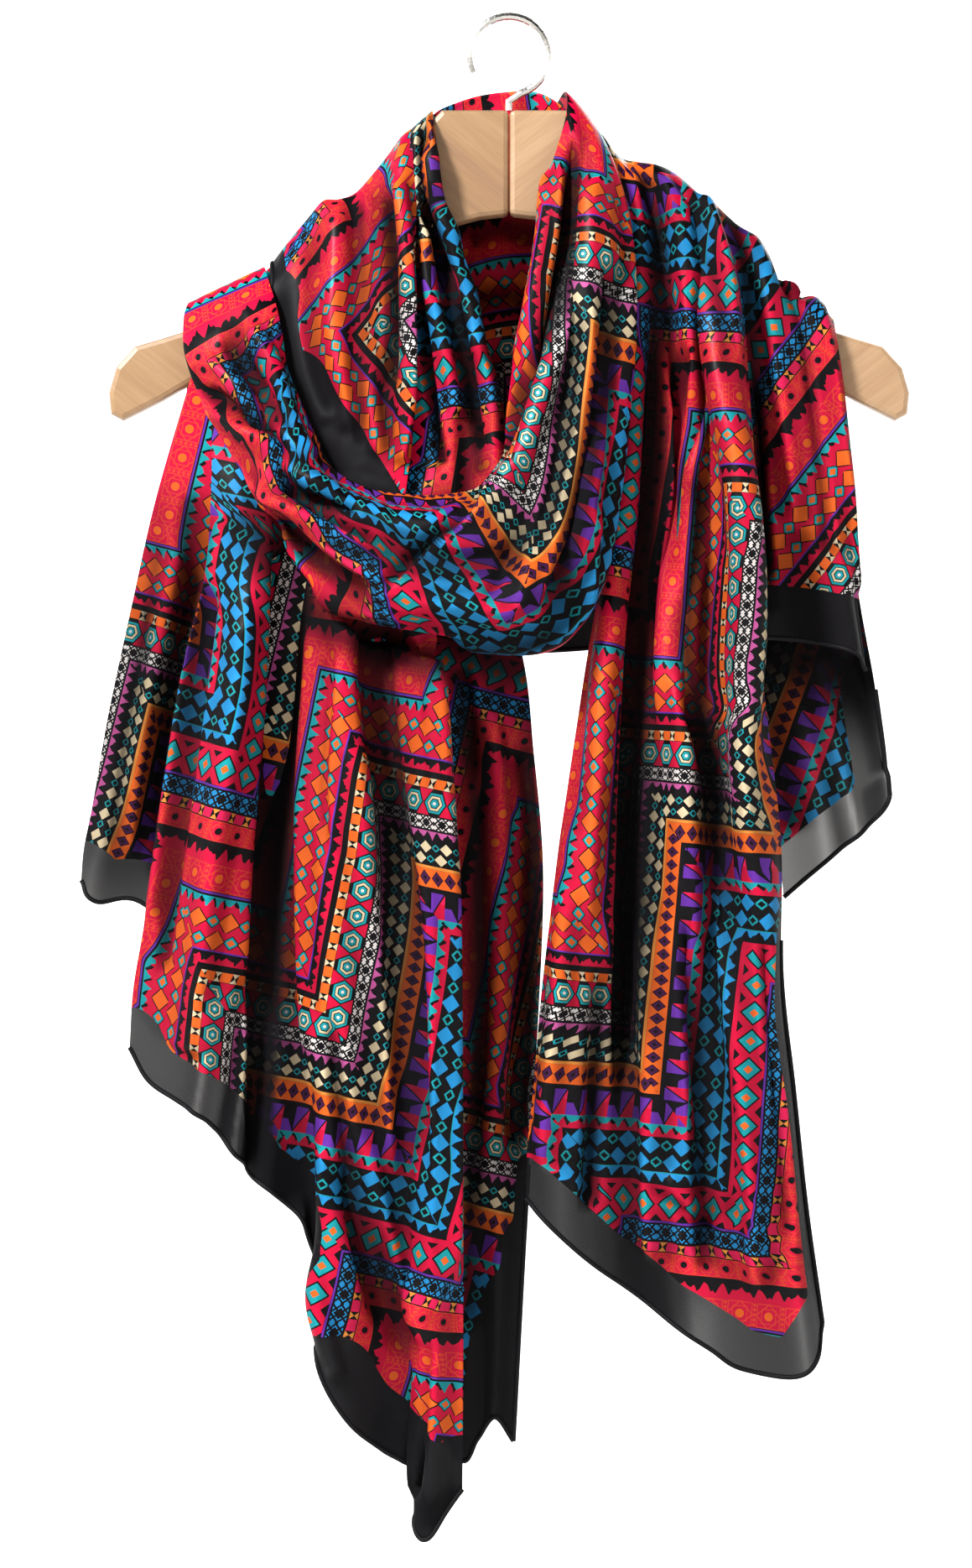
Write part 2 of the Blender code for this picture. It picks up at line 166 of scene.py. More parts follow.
def paintedShade(grid, relief, piece):
    # painted shade: how far each point lies down inside the folds, from open at 0 to closed at 1,
    # by the share of the room that it sees across them; the colour is darkened by it
    spacing = np.linalg.norm(np.diff(grid, axis=1), axis=2).mean(axis=1)[:, None]
    opened = np.ones_like(relief)
    for way in (1, -1):
        field, horizon = relief[:, ::way], np.zeros_like(relief)
        for step in range(1, min(piece["foldReach"], field.shape[1] - 1)):
            slope = piece["foldGain"] * (field[:, step:] - field[:, :-step]) / (step * spacing)
            horizon[:, :-step] = np.maximum(horizon[:, :-step], slope)
        opened -= 0.5 * (horizon / np.sqrt(1 + horizon**2))[:, ::way]
    # painted shadows along the shade rows, such as under the cowl and under a flap
    for row in piece["shade"]:
        opened = opened * (1 - creaseField(grid, [row], piece))
    return 1 - opened


def filmShare(grid, piece):
    # how much of the light behind comes through, more where the cloth lies single
    film = np.full(grid.shape[:2], piece["film"])
    for x, z, reach, share in piece["single"]:
        distance = np.hypot(grid[:, :, 0] - x, grid[:, :, 2] - z)
        film += (share - film) * (1 - smoothStep(piece["singleCore"] * reach, reach, distance))
    return film


def linearColour(code):
    # sRGB hex to the linear values that a shader reads
    values = [int(code[i:i + 2], 16) / 255 for i in (1, 3, 5)]
    return [v / 12.92 if v <= 0.04045 else ((v + 0.055) / 1.055) ** 2.4 for v in values] + [1.0]


def fillInputs(tree, node, values):
    # values or links by socket place or name; a tuple that starts with an operation is a sum
    for place, value in values.items() if isinstance(values, dict) else enumerate(values):
        if isinstance(value, tuple) and isinstance(value[0], str):
            value = addNode(tree, value)
        if isinstance(value, bpy.types.NodeSocket):
            tree.links.new(value, node.inputs[place])
        else:
            node.inputs[place].default_value = value


def addNode(tree, kind, values=(), out=0, **settings):
    # one node with its settings and inputs; a sum such as ("ADD", a, b) is a Math node
    if isinstance(kind, tuple):
        kind, values, settings = "Math", kind[1:], {"operation": kind[0]}
    node = tree.nodes.new("ShaderNode" + kind)
    for name, value in settings.items():
        setattr(node, name, value)
    fillInputs(tree, node, values)
    return node.outputs[out]


def newMaterial(name):
    material = bpy.data.materials.new(name)
    material.use_nodes = True
    return material, material.node_tree, material.node_tree.nodes["Principled BSDF"]


def linkedObject(name, data):
    made = bpy.data.objects.new(name, data)
    bpy.context.scene.collection.objects.link(made)
    return made


# settings of a Mix node that lays one colour (7) over another (6) where its mask (0) is 1
inkMix = {"out": 2, "data_type": "RGBA"}


def inkSteps(tree, value, steps, beyond):
    # flat inks by distance: each one reaches out to its limit, and one lies beyond them all
    colour = beyond
    if isinstance(value, tuple):
        value = addNode(tree, value)
    for limit, over in reversed(steps):
        inside = ("LESS_THAN", value, limit)
        colour = addNode(tree, "Mix", {0: inside, 6: colour, 7: over}, **inkMix)
    return colour


inks = {
    "black": "#08060A", "crimson": "#D90B3E", "red": "#E0163C", "rose": "#EA1E58", "coral": "#E8452E",
    "orange": "#F56A22", "amber": "#EC9440", "cream": "#E6D2AC", "white": "#EFE8E6", "blue": "#2494D6",
    "teal": "#16A0AA", "purple": "#6A30A8", "plum": "#4A1448", "mauve": "#C85A9E",
}
ink = {name: linearColour(code) for name, code in inks.items()}


# Motifs of the print. Each reads the same places: x and rise run from a repeat's middle
# and from the band's middle in half widths, share and base in shares of both.

def plainMotif(tree, at):
    return at.inks[0]


def lineMotif(tree, at):
    # a stripe with a darker edge on both sides
    return inkSteps(tree, at.rise, [(0.62, at.inks[0])], at.inks[1])


def diamondMotif(tree, at):
    # nested diamonds, with small ones in the gaps
    nested = [(0.3, at.inks[2]), (0.76, at.inks[1]), (0.92, ink["black"])]
    colour = inkSteps(tree, ("ADD", at.share, at.rise), nested, at.inks[0])
    corner = ("SUBTRACT", ("MULTIPLY", at.far, at.aspect), at.rise)
    return inkSteps(tree, corner, [(-0.6, at.inks[3])], colour)


def toothMotif(tree, at):
    # a line along one side with uneven teeth that stand on it, each with a shadow tooth
    wander = ("PINGPONG", at.along, ("MULTIPLY", at.repeat, 0.37))
    tall = addNode(tree, ("ADD", ("DIVIDE", wander, at.repeat), 0.45))
    colour = at.inks[0]
    for shift, over in ((0.28, ink["black"]), (0.0, at.inks[1])):
        cell = ("PINGPONG", ("MULTIPLY_ADD", at.repeat, shift, at.along), at.halfRepeat)
        slope = ("SUBTRACT", 1.0, ("DIVIDE", cell, at.halfRepeat))
        above = ("SUBTRACT", at.base, ("MULTIPLY_ADD", slope, tall, 0.12))
        colour = inkSteps(tree, above, [(0.0, over)], colour)
    return inkSteps(tree, at.base, [(0.1, at.inks[2])], colour)


def latticeMotif(tree, at):
    # squares with a disc inside, parted by narrow columns of small crossed squares
    ground, line = at.inks[:2]
    frames = [(0.54, ground), (0.60, line), (0.91, ground), (0.98, line)]
    colour = inkSteps(tree, ("MAXIMUM", at.x, at.rise), frames, ground)
    spoke = ("ABSOLUTE", ("SUBTRACT", ("ADD", at.x, at.rise), 1.0))
    colour = inkSteps(tree, spoke, [(0.06, line)], colour)
    disc = ("MULTIPLY_ADD", at.x, at.x, ("MULTIPLY", at.rise, at.rise))
    colour = inkSteps(tree, disc, [(0.12, at.inks[2])], colour)
    small = addNode(tree, ("MULTIPLY", at.width, 0.1))
    crossed = ("ADD", ("PINGPONG", at.across, small), ("PINGPONG", at.cell, small))
    bead = ("MULTIPLY", ("LESS_THAN", crossed, small), ("GREATER_THAN", at.x, 1.0))
    return addNode(tree, "Mix", {0: bead, 6: colour, 7: line}, **inkMix)


def blockMotif(tree, at):
    # blocks parted by black cells that hold two pale triangles point to point
    bow = ("SUBTRACT", ("MULTIPLY", at.x, 1.25), at.rise)
    colour = inkSteps(tree, bow, [(0.0, at.inks[1])], ink["black"])
    colour = inkSteps(tree, at.share, [(0.4, colour)], at.inks[0])
    return inkSteps(tree, at.rise, [(0.82, colour)], ink["black"])


def medallionMotif(tree, at):
    # six-sided medallions of rings, with wedges between them
    slant = ("MULTIPLY_ADD", at.rise, 0.5, ("MULTIPLY", at.x, 0.87))
    wedge = ("MULTIPLY", ("MULTIPLY", at.far, at.aspect), 1.7)
    ground = inkSteps(tree, ("SUBTRACT", wedge, at.rise), [(0.0, at.inks[3])], at.inks[0])
    rings = [
        (0.12, ink["white"]), (0.30, at.inks[1]), (0.38, ink["black"]), (0.54, at.inks[2]),
        (0.60, ink["black"]), (0.76, at.inks[1]), (0.86, ink["black"]),
    ]
    return inkSteps(tree, ("MAXIMUM", slant, at.rise), rings, ground)


def hatchMotif(tree, at):
    # black diamonds between pale crossed lines
    quarter = addNode(tree, ("MULTIPLY", at.width, 0.25))
    net = ("SUBTRACT", ("PINGPONG", at.across, quarter), ("PINGPONG", at.cell, quarter))
    net = ("DIVIDE", ("ABSOLUTE", net), at.width)
    colour = inkSteps(tree, net, [(0.08, ink["black"])], at.inks[0])
    colour = inkSteps(tree, ("ADD", at.x, at.rise), [(0.66, ink["black"])], colour)
    return inkSteps(tree, at.rise, [(0.86, colour)], ink["black"])


def pairMotif(tree, at):
    # pairs of diamonds, one set a little after the other, with small ones beside them
    turn = ("MULTIPLY", ("SIGN", at.across), at.repeat)
    cell = ("PINGPONG", ("MULTIPLY_ADD", turn, 0.14, at.along), at.halfRepeat)
    cell = addNode(tree, ("DIVIDE", cell, at.repeat))
    up = addNode(tree, ("ABSOLUTE", ("SUBTRACT", at.rise, 0.48)))
    main = ("MULTIPLY_ADD", cell, 2.9, ("MULTIPLY", up, 1.7))
    side = ("MULTIPLY_ADD", ("SUBTRACT", 0.5, cell), 2.9, ("MULTIPLY", up, 1.9))
    small = [(0.36, at.inks[3]), (0.62, at.inks[2]), (0.74, ink["black"])]
    colour = inkSteps(tree, side, small, at.inks[0])
    return inkSteps(tree, main, [(0.86, at.inks[1]), (1.0, ink["black"])], colour)


def patchMotif(tree, at):
    # triangles point to point, each cut into two inks
    one, two, three, four = at.inks
    side = addNode(tree, ("LESS_THAN", ("FLOORED_MODULO", at.along, at.repeat), at.halfRepeat))
    first = inkSteps(tree, at.base, [(0.42, one)], two)
    second = inkSteps(tree, at.base, [(0.55, three)], four)
    lower = addNode(tree, "Mix", {0: side, 6: four, 7: ink["black"]}, **inkMix)
    upper = addNode(tree, "Mix", {0: side, 6: first, 7: second}, **inkMix)
    rise = ("SUBTRACT", at.base, at.share)
    return inkSteps(tree, rise, [(-0.06, lower), (0.06, ink["black"])], upper)


motifs = [
    plainMotif, lineMotif, diamondMotif, toothMotif, latticeMotif, blockMotif,
    medallionMotif, hatchMotif, pairMotif, patchMotif,
]
printedSatin = {
    # the stair that the bands follow: its level and upright runs in mm
    "tread": 76, "riser": 118,
    # the plain border's ink, and the near black of the painted shade in folds and of the painted shadows
    "borderWidth": 19.0, "borderInk": "#0D0B10", "paintedShadeColour": "#040306",
    # roughness where the cloth lies open and down in the folds, and how far down the last is
    "rough": (0.38, 0.85), "roughDepth": 0.6, "specular": 0.15,
    # dye patches and ripples in a metre, and a wave's scale that gives a thread each 0.5 mm,
    # twice their real spacing so that they can show
    "dyeScale": 60.0, "dyeShade": (0.88, 1.06), "rippleScale": 45.0, "threadScale": 628.0,
    # the share of its see-through that the plain border keeps beside the print
    "borderFilm": 0.2,
    # a ramp holds 255 steps, so all widths are whole numbers of these
    "step": 0.75, "steps": 255,
    # a motif's number goes through a ramp as a share of these, and is read back this near
    "motifSlots": 16, "slotNear": 0.02,
    # motif, width and repeat in mm, and up to four inks, the others black
    "bands": [
        (latticeMotif, 12, 14, "crimson", "coral", "orange", "red"),
        (lineMotif, 1.5, 9, "purple"),
        (toothMotif, 6.75, 6, "crimson", "teal"),
        (pairMotif, 18, 17, "crimson", "orange", "teal", "orange"),
        (toothMotif, 6, 7, "crimson", "black", "purple"),
        (plainMotif, 2.25, 9),
        (blockMotif, 5.25, 8, "orange", "cream"),
        (medallionMotif, 12, 12, "black", "teal", "cream", "crimson"),
        (hatchMotif, 6.75, 8, "white"),
        (toothMotif, 5.25, 5, "black", "mauve"),
        (pairMotif, 11.25, 10, "black", "cream", "teal"),
        (lineMotif, 2.25, 9, "amber"),
        (diamondMotif, 8.25, 6, "orange", "plum", "black", "orange"),
        (plainMotif, 2.25, 9),
        (patchMotif, 12, 13, "rose", "crimson", "black", "purple"),
        (toothMotif, 6, 7, "crimson", "teal", "teal"),
        (pairMotif, 16.5, 15, "black", "blue", "teal"),
        (toothMotif, 6, 7, "black", "blue", "teal"),
        (plainMotif, 2.25, 9, "crimson"),
        (diamondMotif, 15, 13, "crimson", "teal", "orange"),
        (lineMotif, 1.5, 9, "purple"),
        (hatchMotif, 8.25, 9, "blue"),
        (blockMotif, 5.25, 9, "rose", "amber"),
        (latticeMotif, 9, 11, "red", "coral", "black", "red"),
        (toothMotif, 9, 9, "crimson"),
        (plainMotif, 0.75, 9),
    ],
}


def bandRamp(tree, place, look, values):
    # one flat step for each band, its stop half a step early so that none is missed
    ramp = addNode(tree, "ValToRGB", [place]).node
    stops = ramp.color_ramp.elements
    ramp.color_ramp.interpolation = "CONSTANT"
    first = 0.0
    for number, (band, value) in enumerate(zip(look["bands"], values)):
        stop = stops[0] if number == 0 else stops.new(1.0)
        stop.position = max(0.0, (first / look["step"] - 0.5) / look["steps"])
        stop.color = value
        first += band[1]
    stops.remove(stops[-1])
    return ramp


def printColour(tree, along, depth, look):
    # every motif once, over the places of whichever band is there
    slots = look["motifSlots"]
    span = look["step"] * look["steps"]
    share = addNode(tree, ("DIVIDE", depth, span))
    sizes, inkRows, first = [], [], 0
    for motif, width, repeat, *names in look["bands"]:
        sizes.append((first / span, width / span, repeat / span, motifs.index(motif) / slots))
        inkRows.append([ink[name] for name in (names + ["black"] * 4)[:4]])
        first += width
    ramp = bandRamp(tree, share, look, sizes)
    parts = addNode(tree, "SeparateColor", [ramp.outputs[0]]).node.outputs
    start, width, repeat = (addNode(tree, ("MULTIPLY", part, span)) for part in parts)
    half = addNode(tree, ("MULTIPLY", width, 0.5))
    inside = addNode(tree, ("SUBTRACT", depth, start))
    at = SimpleNamespace(along=along, width=width, repeat=repeat)
    at.inks = [bandRamp(tree, share, look, row).outputs[0] for row in zip(*inkRows)]
    at.halfRepeat = addNode(tree, ("MULTIPLY", repeat, 0.5))
    at.base = addNode(tree, ("DIVIDE", inside, width))
    at.across = addNode(tree, ("SUBTRACT", inside, half))
    at.rise = addNode(tree, ("DIVIDE", ("ABSOLUTE", at.across), half))
    at.cell = addNode(tree, ("PINGPONG", along, at.halfRepeat))
    at.x = addNode(tree, ("DIVIDE", at.cell, half))
    at.share = addNode(tree, ("DIVIDE", at.cell, at.halfRepeat))
    at.far = addNode(tree, ("SUBTRACT", 1.0, at.share))
    at.aspect = addNode(tree, ("DIVIDE", repeat, width))
    colour = motifs[0](tree, at)
    for number, motif in enumerate(motifs[1:], 1):
        chosen = ("COMPARE", ramp.outputs[1], number / slots, look["slotNear"])
        colour = addNode(tree, "Mix", {0: chosen, 6: colour, 7: motif(tree, at)}, **inkMix)
    return colour


def satinMaterial(name, look):
    # Polyester satin, screen printed and woven fine: an even soft gloss, with a plain
    # black border round it. The cloth is thin, so white behind it shows through a little.
    material, tree, shader = newMaterial(name)
    material.use_transparent_shadow = False
    flat = addNode(tree, "UVMap", uv_map="flatCut")
    places = addNode(tree, "SeparateXYZ", [flat]).node.outputs
    right, up = (addNode(tree, ("MULTIPLY", place, 1 / mm)) for place in places[:2])
    # the stair: level runs, then upright runs, without a break
    tread, riser = look["tread"], look["riser"]
    climb = addNode(tree, ("ADD", right, up))
    flight = ("FLOOR", ("DIVIDE", climb, tread + riser))
    within = addNode(tree, ("FLOORED_MODULO", climb, tread + riser))
    past = ("MAXIMUM", ("SUBTRACT", within, tread), 0.0)
    slope = ("MULTIPLY_ADD", flight, tread - riser, ("MULTIPLY_ADD", past, -2.0, within))
    depth = ("MULTIPLY", ("ADD", ("SUBTRACT", up, right), slope), -0.5)
    depth = addNode(tree, ("FLOORED_MODULO", depth, look["step"] * look["steps"]))
    upright = ("GREATER_THAN", within, tread)
    along = addNode(tree, "Mix", {0: upright, 2: right, 3: up}, data_type="FLOAT")
    colour = printColour(tree, along, depth, look)
    # the dye lies a little unevenly
    spot = addNode(tree, "TexNoise", {0: flat, 2: look["dyeScale"], 3: 3.0}, noise_dimensions="2D")
    shade = addNode(tree, "MapRange", [spot, 0.25, 0.75, *look["dyeShade"]])
    colour = addNode(tree, "Mix", {0: 1.0, 6: colour, 7: shade}, **inkMix, blend_type="MULTIPLY")
    edgeGap = addNode(tree, "Attribute", out=2, attribute_name="edgeGap")
    printed = addNode(tree, ("GREATER_THAN", edgeGap, look["borderWidth"]))
    border = linearColour(look["borderInk"])
    colour = addNode(tree, "Mix", {0: printed, 6: border, 7: colour}, **inkMix)
    # painted shade: the colour goes towards near black where the folds close and under other layers, and
    # roughness rises with it
    shaded = addNode(tree, "Attribute", out=2, attribute_name="paintedShade")
    closed = linearColour(look["paintedShadeColour"])
    colour = addNode(tree, "Mix", {0: shaded, 6: colour, 7: closed}, **inkMix)
    rough = addNode(tree, "MapRange", [shaded, 0.0, look["roughDepth"], *look["rough"]])
    # fine threads over soft ripples
    thread = {0: flat, 1: look["threadScale"], 2: 0.6}
    threads = addNode(tree, "TexWave", thread, out=1, bands_direction="X")
    weave = addNode(tree, "Bump", {"Strength": 0.08, "Distance": 0.2 * mm, "Height": threads})
    soft = {0: flat, 2: look["rippleScale"], 3: 2.0}
    ripple = addNode(tree, "TexNoise", soft, noise_dimensions="2D")
    rippled = {"Strength": 0.35, "Distance": 2 * mm, "Height": ripple, "Normal": weave}
    fillInputs(tree, shader, {
        "Base Color": colour, "Roughness": rough, "Specular IOR Level": look["specular"],
        "Normal": addNode(tree, "Bump", rippled),
    })
    film = addNode(tree, "Attribute", out=2, attribute_name="film")
    less = addNode(tree, "MapRange", [printed, 0.0, 1.0, 1.0, look["borderFilm"]])
    clear = addNode(tree, "BsdfTransparent")
    cloth = addNode(tree, "MixShader", [("MULTIPLY", film, less), shader.outputs[0], clear])
    tree.links.new(cloth, tree.nodes["Material Output"].inputs[0])
    return material


lacqueredBeech = {
    # how often the rings and the short flecks change in a metre, along and across the grain
    "rings": (9.0, 60.0, 150.0), "flecks": (60.0, 500.0, 1400.0), "fleckShade": (0.93, 1.03),
    # where the three tones of an arm lie among its rings
    "toneStops": (0.3, 0.5, 0.72),
    "rough": 0.42, "lacquer": 0.15, "lacquerRough": 0.3,
}


def beechMaterial(name, grainTurn, tones):
    # Steamed beech, planed and lacquered: fine straight grain with short dark flecks
    material, tree, shader = newMaterial(name)
    look = lacqueredBeech
    place = addNode(tree, "TexCoord", out=3)
    turned = addNode(tree, "Mapping", {0: place, 2: (0.0, math.radians(grainTurn), 0.0)})
    rings = addNode(tree, "Mapping", {0: turned, 3: look["rings"]})
    grain = addNode(tree, "TexNoise", {0: rings, 2: 1.0, 3: 4.0, 4: 0.55})
    fine = addNode(tree, "Mapping", {0: turned, 3: look["flecks"]})
    fleck = addNode(tree, "TexNoise", {0: fine, 2: 1.0, 3: 2.0})
    colour = addNode(tree, "ValToRGB", [grain])
    stops = colour.node.color_ramp.elements
    stops.new(0.5)
    for stop, at, code in zip(stops, look["toneStops"], tones):
        stop.position = at
        stop.color = linearColour(code)
    shade = addNode(tree, "MapRange", [fleck, 0.35, 0.6, *look["fleckShade"]])
    fillInputs(tree, shader, {
        "Base Color": addNode(tree, "Mix", {0: 1.0, 6: colour, 7: shade}, **inkMix, blend_type="MULTIPLY"),
        "Roughness": look["rough"],
        "Coat Weight": look["lacquer"], "Coat Roughness": look["lacquerRough"],
        "Normal": addNode(tree, "Bump", {"Strength": 0.12, "Distance": 0.4 * mm, "Height": fleck}),
    })
    return material


hookWire = {"colour": "#E6E4E0", "rough": (0.18, 0.32), "cloudScale": 900.0}


def wireMaterial(name, look):
    # Drawn steel wire, nickel plated: bright, and a little cloudy from handling
    material, tree, shader = newMaterial(name)
    place = addNode(tree, "TexCoord", out=3)
    cloud = addNode(tree, "TexNoise", {0: place, 2: look["cloudScale"], 3: 2.0})
    fillInputs(tree, shader, {
        "Base Color": linearColour(look["colour"]), "Metallic": 1.0,
        "Roughness": addNode(tree, "MapRange", [cloud, 0.3, 0.7, *look["rough"]]),
    })
    return material


rolledHem = {
    # radius in mm and sides of the roll
    "radius": 1.15, "sides": 8,
    "dark": "#060508", "pale": "#141218", "rough": 0.62, "specular": 0.2, "twistScale": 700.0,
}


def hemMaterial(name, look):
    # The same black satin, rolled round its thread: no print, tight small ripples
    material, tree, shader = newMaterial(name)
    place = addNode(tree, "TexCoord", out=3)
    twist = addNode(tree, "TexNoise", {0: place, 2: look["twistScale"], 3: 2.0})
    dark, pale = (linearColour(look[tone]) for tone in ("dark", "pale"))
    fillInputs(tree, shader, {
        "Base Color": addNode(tree, "Mix", {0: twist, 6: dark, 7: pale}, **inkMix),
        "Roughness": look["rough"], "Specular IOR Level": look["specular"],
        "Normal": addNode(tree, "Bump", {"Strength": 0.4, "Distance": 0.3 * mm, "Height": twist}),
    })
    return material


satin = satinMaterial("printedPolyesterSatin", printedSatin)
hemSatin = hemMaterial("rolledSatinHem", rolledHem)
print("materials made")


def flatPlaces(base, grid, piece):
    # where each point lies on the flat cut: arc lengths, turned to the print
    over = np.linalg.norm(np.diff(grid, axis=1), axis=2)
    start = np.zeros((len(grid), 1))
    middle = grid.shape[1] // 2
    if piece["hangs"]:
        # a tail hangs nearly flat, so only its folds add to its width
        chord = np.linalg.norm(np.diff(grid[:, :, [0, 2]], axis=1), axis=2)
        extra = np.concatenate([start, np.cumsum(over - chord, axis=1)], axis=1)
        right = grid[:, :, 0] + extra - extra[:, middle:middle + 1]
        up = base[:, :, 2] - base[:, :, 2].max()
    else:
        right = np.concatenate([start, np.cumsum(over, axis=1)], axis=1)
        right -= right[:, middle:middle + 1]
        down = np.linalg.norm(np.diff(base, axis=0), axis=2)
        up = -np.concatenate([np.zeros((1, grid.shape[1])), np.cumsum(down, axis=0)], axis=0)
        # a stretch that bends round takes up the difference by stretching on the bias
        even = piece["even"]
        up = (1 - even) * up + even * up.mean(axis=1, keepdims=True)
    turn = math.radians(piece["turn"])
    u = right * math.cos(turn) - up * math.sin(turn) + piece["shift"][0]
    v = right * math.sin(turn) + up * math.cos(turn) + piece["shift"][1]
    return np.stack([u, v], axis=-1)


def freeEdges(grid, sides):
    # the cut edges among a grid's sides, each as a row of points, with the share of the
    # plain border's width that it shows
    lines = {"end": grid[-1], "left": grid[:, 0], "right": grid[:, -1]}
    found = []
    for side in sides:
        name, first, last, share = side if isinstance(side, tuple) else (side, 0.0, 1.0, 1.0)
        line = lines[name]
        steps = len(line) - 1
        found.append((line[int(first * steps):int(last * steps) + 1], share))
    return found


def edgeGaps(grid, lines, piece):
    gaps = np.full(grid.shape[:2], piece["edgeFar"])
    for line, share in lines:
        dense = splineThrough(line, np.linspace(0, 1, piece["edgeSamples"]))
        for row, points in enumerate(grid):
            distance = np.linalg.norm(points[:, None] - dense[None], axis=2).min(axis=1)
            gaps[row] = np.minimum(gaps[row], distance / share)
    return gaps


def sheetMesh(name, grid, flat, marks):
    rows, columns = grid.shape[:2]
    points = (grid * mm).reshape(-1, 3)
    corner = np.arange(rows * columns).reshape(rows, columns)
    corners = [corner[:-1, :-1], corner[:-1, 1:], corner[1:, 1:], corner[1:, :-1]]
    faces = np.stack(corners, axis=-1).reshape(-1, 4)
    a, b, d = (grid.reshape(-1, 3)[faces[:, i]] for i in (0, 1, 3))
    if np.cross(b - a, d - a)[:, 1].sum() > 0:  # the printed face looks to the front
        faces = faces[:, ::-1]
    mesh = bpy.data.meshes.new(name)
    mesh.from_pydata(points.tolist(), [], faces.tolist())
    layer = mesh.uv_layers.new(name="flatCut")
    spots = flat.reshape(-1, 2)[faces.reshape(-1)] * mm
    layer.data.foreach_set("uv", spots.astype(np.float32).reshape(-1))
    for mark, values in marks.items():
        layer = mesh.attributes.new(mark, "FLOAT", "POINT")
        layer.data.foreach_set("value", values.reshape(-1).astype(np.float32))
    mesh.polygons.foreach_set("use_smooth", np.ones(len(faces), bool))
    mesh.update()
    return mesh


def bakedPiece(name, source):
    # the evaluated object as a plain mesh object of its own
    graph = bpy.context.evaluated_depsgraph_get()
    mesh = bpy.data.meshes.new_from_object(
        source.evaluated_get(graph), preserve_all_data_layers=True, depsgraph=graph
    )
    mesh.name = name
    bpy.data.objects.remove(source, do_unlink=True)
    return linkedObject(name, mesh)


def rolledHemTree():
    # a tube along each free edge, its radius and sides named as inputs
    tree = bpy.data.node_groups.new("rolled hem", "GeometryNodeTree")
    for name, way, kind in (
        ("Edge", "INPUT", "Geometry"), ("Roll radius", "INPUT", "Float"),
        ("Sides", "INPUT", "Int"), ("Hem", "OUTPUT", "Geometry"),
    ):
        tree.interface.new_socket(name, in_out=way, socket_type="NodeSocket" + kind)
    given, result = (tree.nodes.new("NodeGroup" + kind) for kind in ("Input", "Output"))
    curve, circle, tube, smooth, real, paint = (
        tree.nodes.new("GeometryNode" + kind) for kind in (
            "MeshToCurve", "CurvePrimitiveCircle", "CurveToMesh",
            "SetShadeSmooth", "RealizeInstances", "SetMaterial",
        )
    )
    paint.inputs["Material"].default_value = hemSatin
    tube.inputs["Fill Caps"].default_value = True
    for source, leaving, target, entering in (
        (given, "Edge", curve, 0), (given, "Roll radius", circle, "Radius"),
        (given, "Sides", circle, "Resolution"), (curve, 0, tube, "Curve"),
        (circle, 0, tube, "Profile Curve"), (tube, 0, smooth, 0), (smooth, 0, real, 0),
        (real, 0, paint, 0), (paint, 0, result, 0),
    ):
        tree.links.new(source.outputs[leaving], target.inputs[entering])
    return tree


hemTree = rolledHemTree()


def hemPiece(name, lines):
    points, edges = [], []
    for line in lines:
        first = len(points)
        points += (line * mm).tolist()
        edges += [(first + i, first + i + 1) for i in range(len(line) - 1)]
    mesh = bpy.data.meshes.new(name)
    mesh.from_pydata(points, edges, [])
    source = linkedObject(name + "Path", mesh)
    nodes = source.modifiers.new("hem", "NODES")
    nodes.node_group = hemTree
    values = {"Roll radius": rolledHem["radius"] * mm, "Sides": rolledHem["sides"]}
    for item in hemTree.interface.items_tree:
        if item.in_out == "INPUT" and item.name in values:
            nodes[item.identifier] = values[item.name]
    return bakedPiece(name, source)


def makeCloth(own):
    piece = {**everyStretch, **own}
    across, along = (np.linspace(0, 1, cells + 1) for cells in piece["cells"])
    base = sectionGrid(piece["sections"], across, along, piece["curl"])
    crestPlace = 1 / (len(piece["sections"]) - 1)
    for outline, place in (("top", 0), ("crest", crestPlace), ("hem", 1)):
        if piece[outline]:
            followOutline(base, piece[outline], across, along, place, piece[outline + "Reach"])
    folds = foldField(base, piece, across, along)
    grid = raised(base, folds)
    creases = creaseField(grid, piece["creases"], piece)
    grid = raised(grid, creases)
    lines = freeEdges(grid, piece["free"])
    marks = {
        "edgeGap": edgeGaps(grid, lines, piece),
        "paintedShade": paintedShade(grid, folds + creases, piece),
        "film": filmShare(grid, piece),
    }
    marks["film"] *= 1 - marks["paintedShade"]
    mesh = sheetMesh(piece["name"], grid, flatPlaces(base, grid, piece), marks)
    sheet = linkedObject(piece["name"], mesh)
    sheet.data.materials.append(satin)
    wall = sheet.modifiers.new("wall", "SOLIDIFY")
    wall.thickness = piece["wall"] * mm
    wall.offset = 0.0
    sheet = bakedPiece(piece["name"], sheet)
    hems = [hemPiece(piece["name"] + "Hem", [line for line, share in lines])] if lines else []
    for made in [sheet] + hems:
        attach(made, "root")
    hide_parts(piece["node"])
    area = sum(face.area for face in sheet.data.polygons) / 2
    print(piece["name"], "made:", len(sheet.data.polygons) * 2, "triangles,", round(area, 4), "m2")
    return sheet


leftArm, rightArm = "hanger_arm_left", "hanger_arm_right"
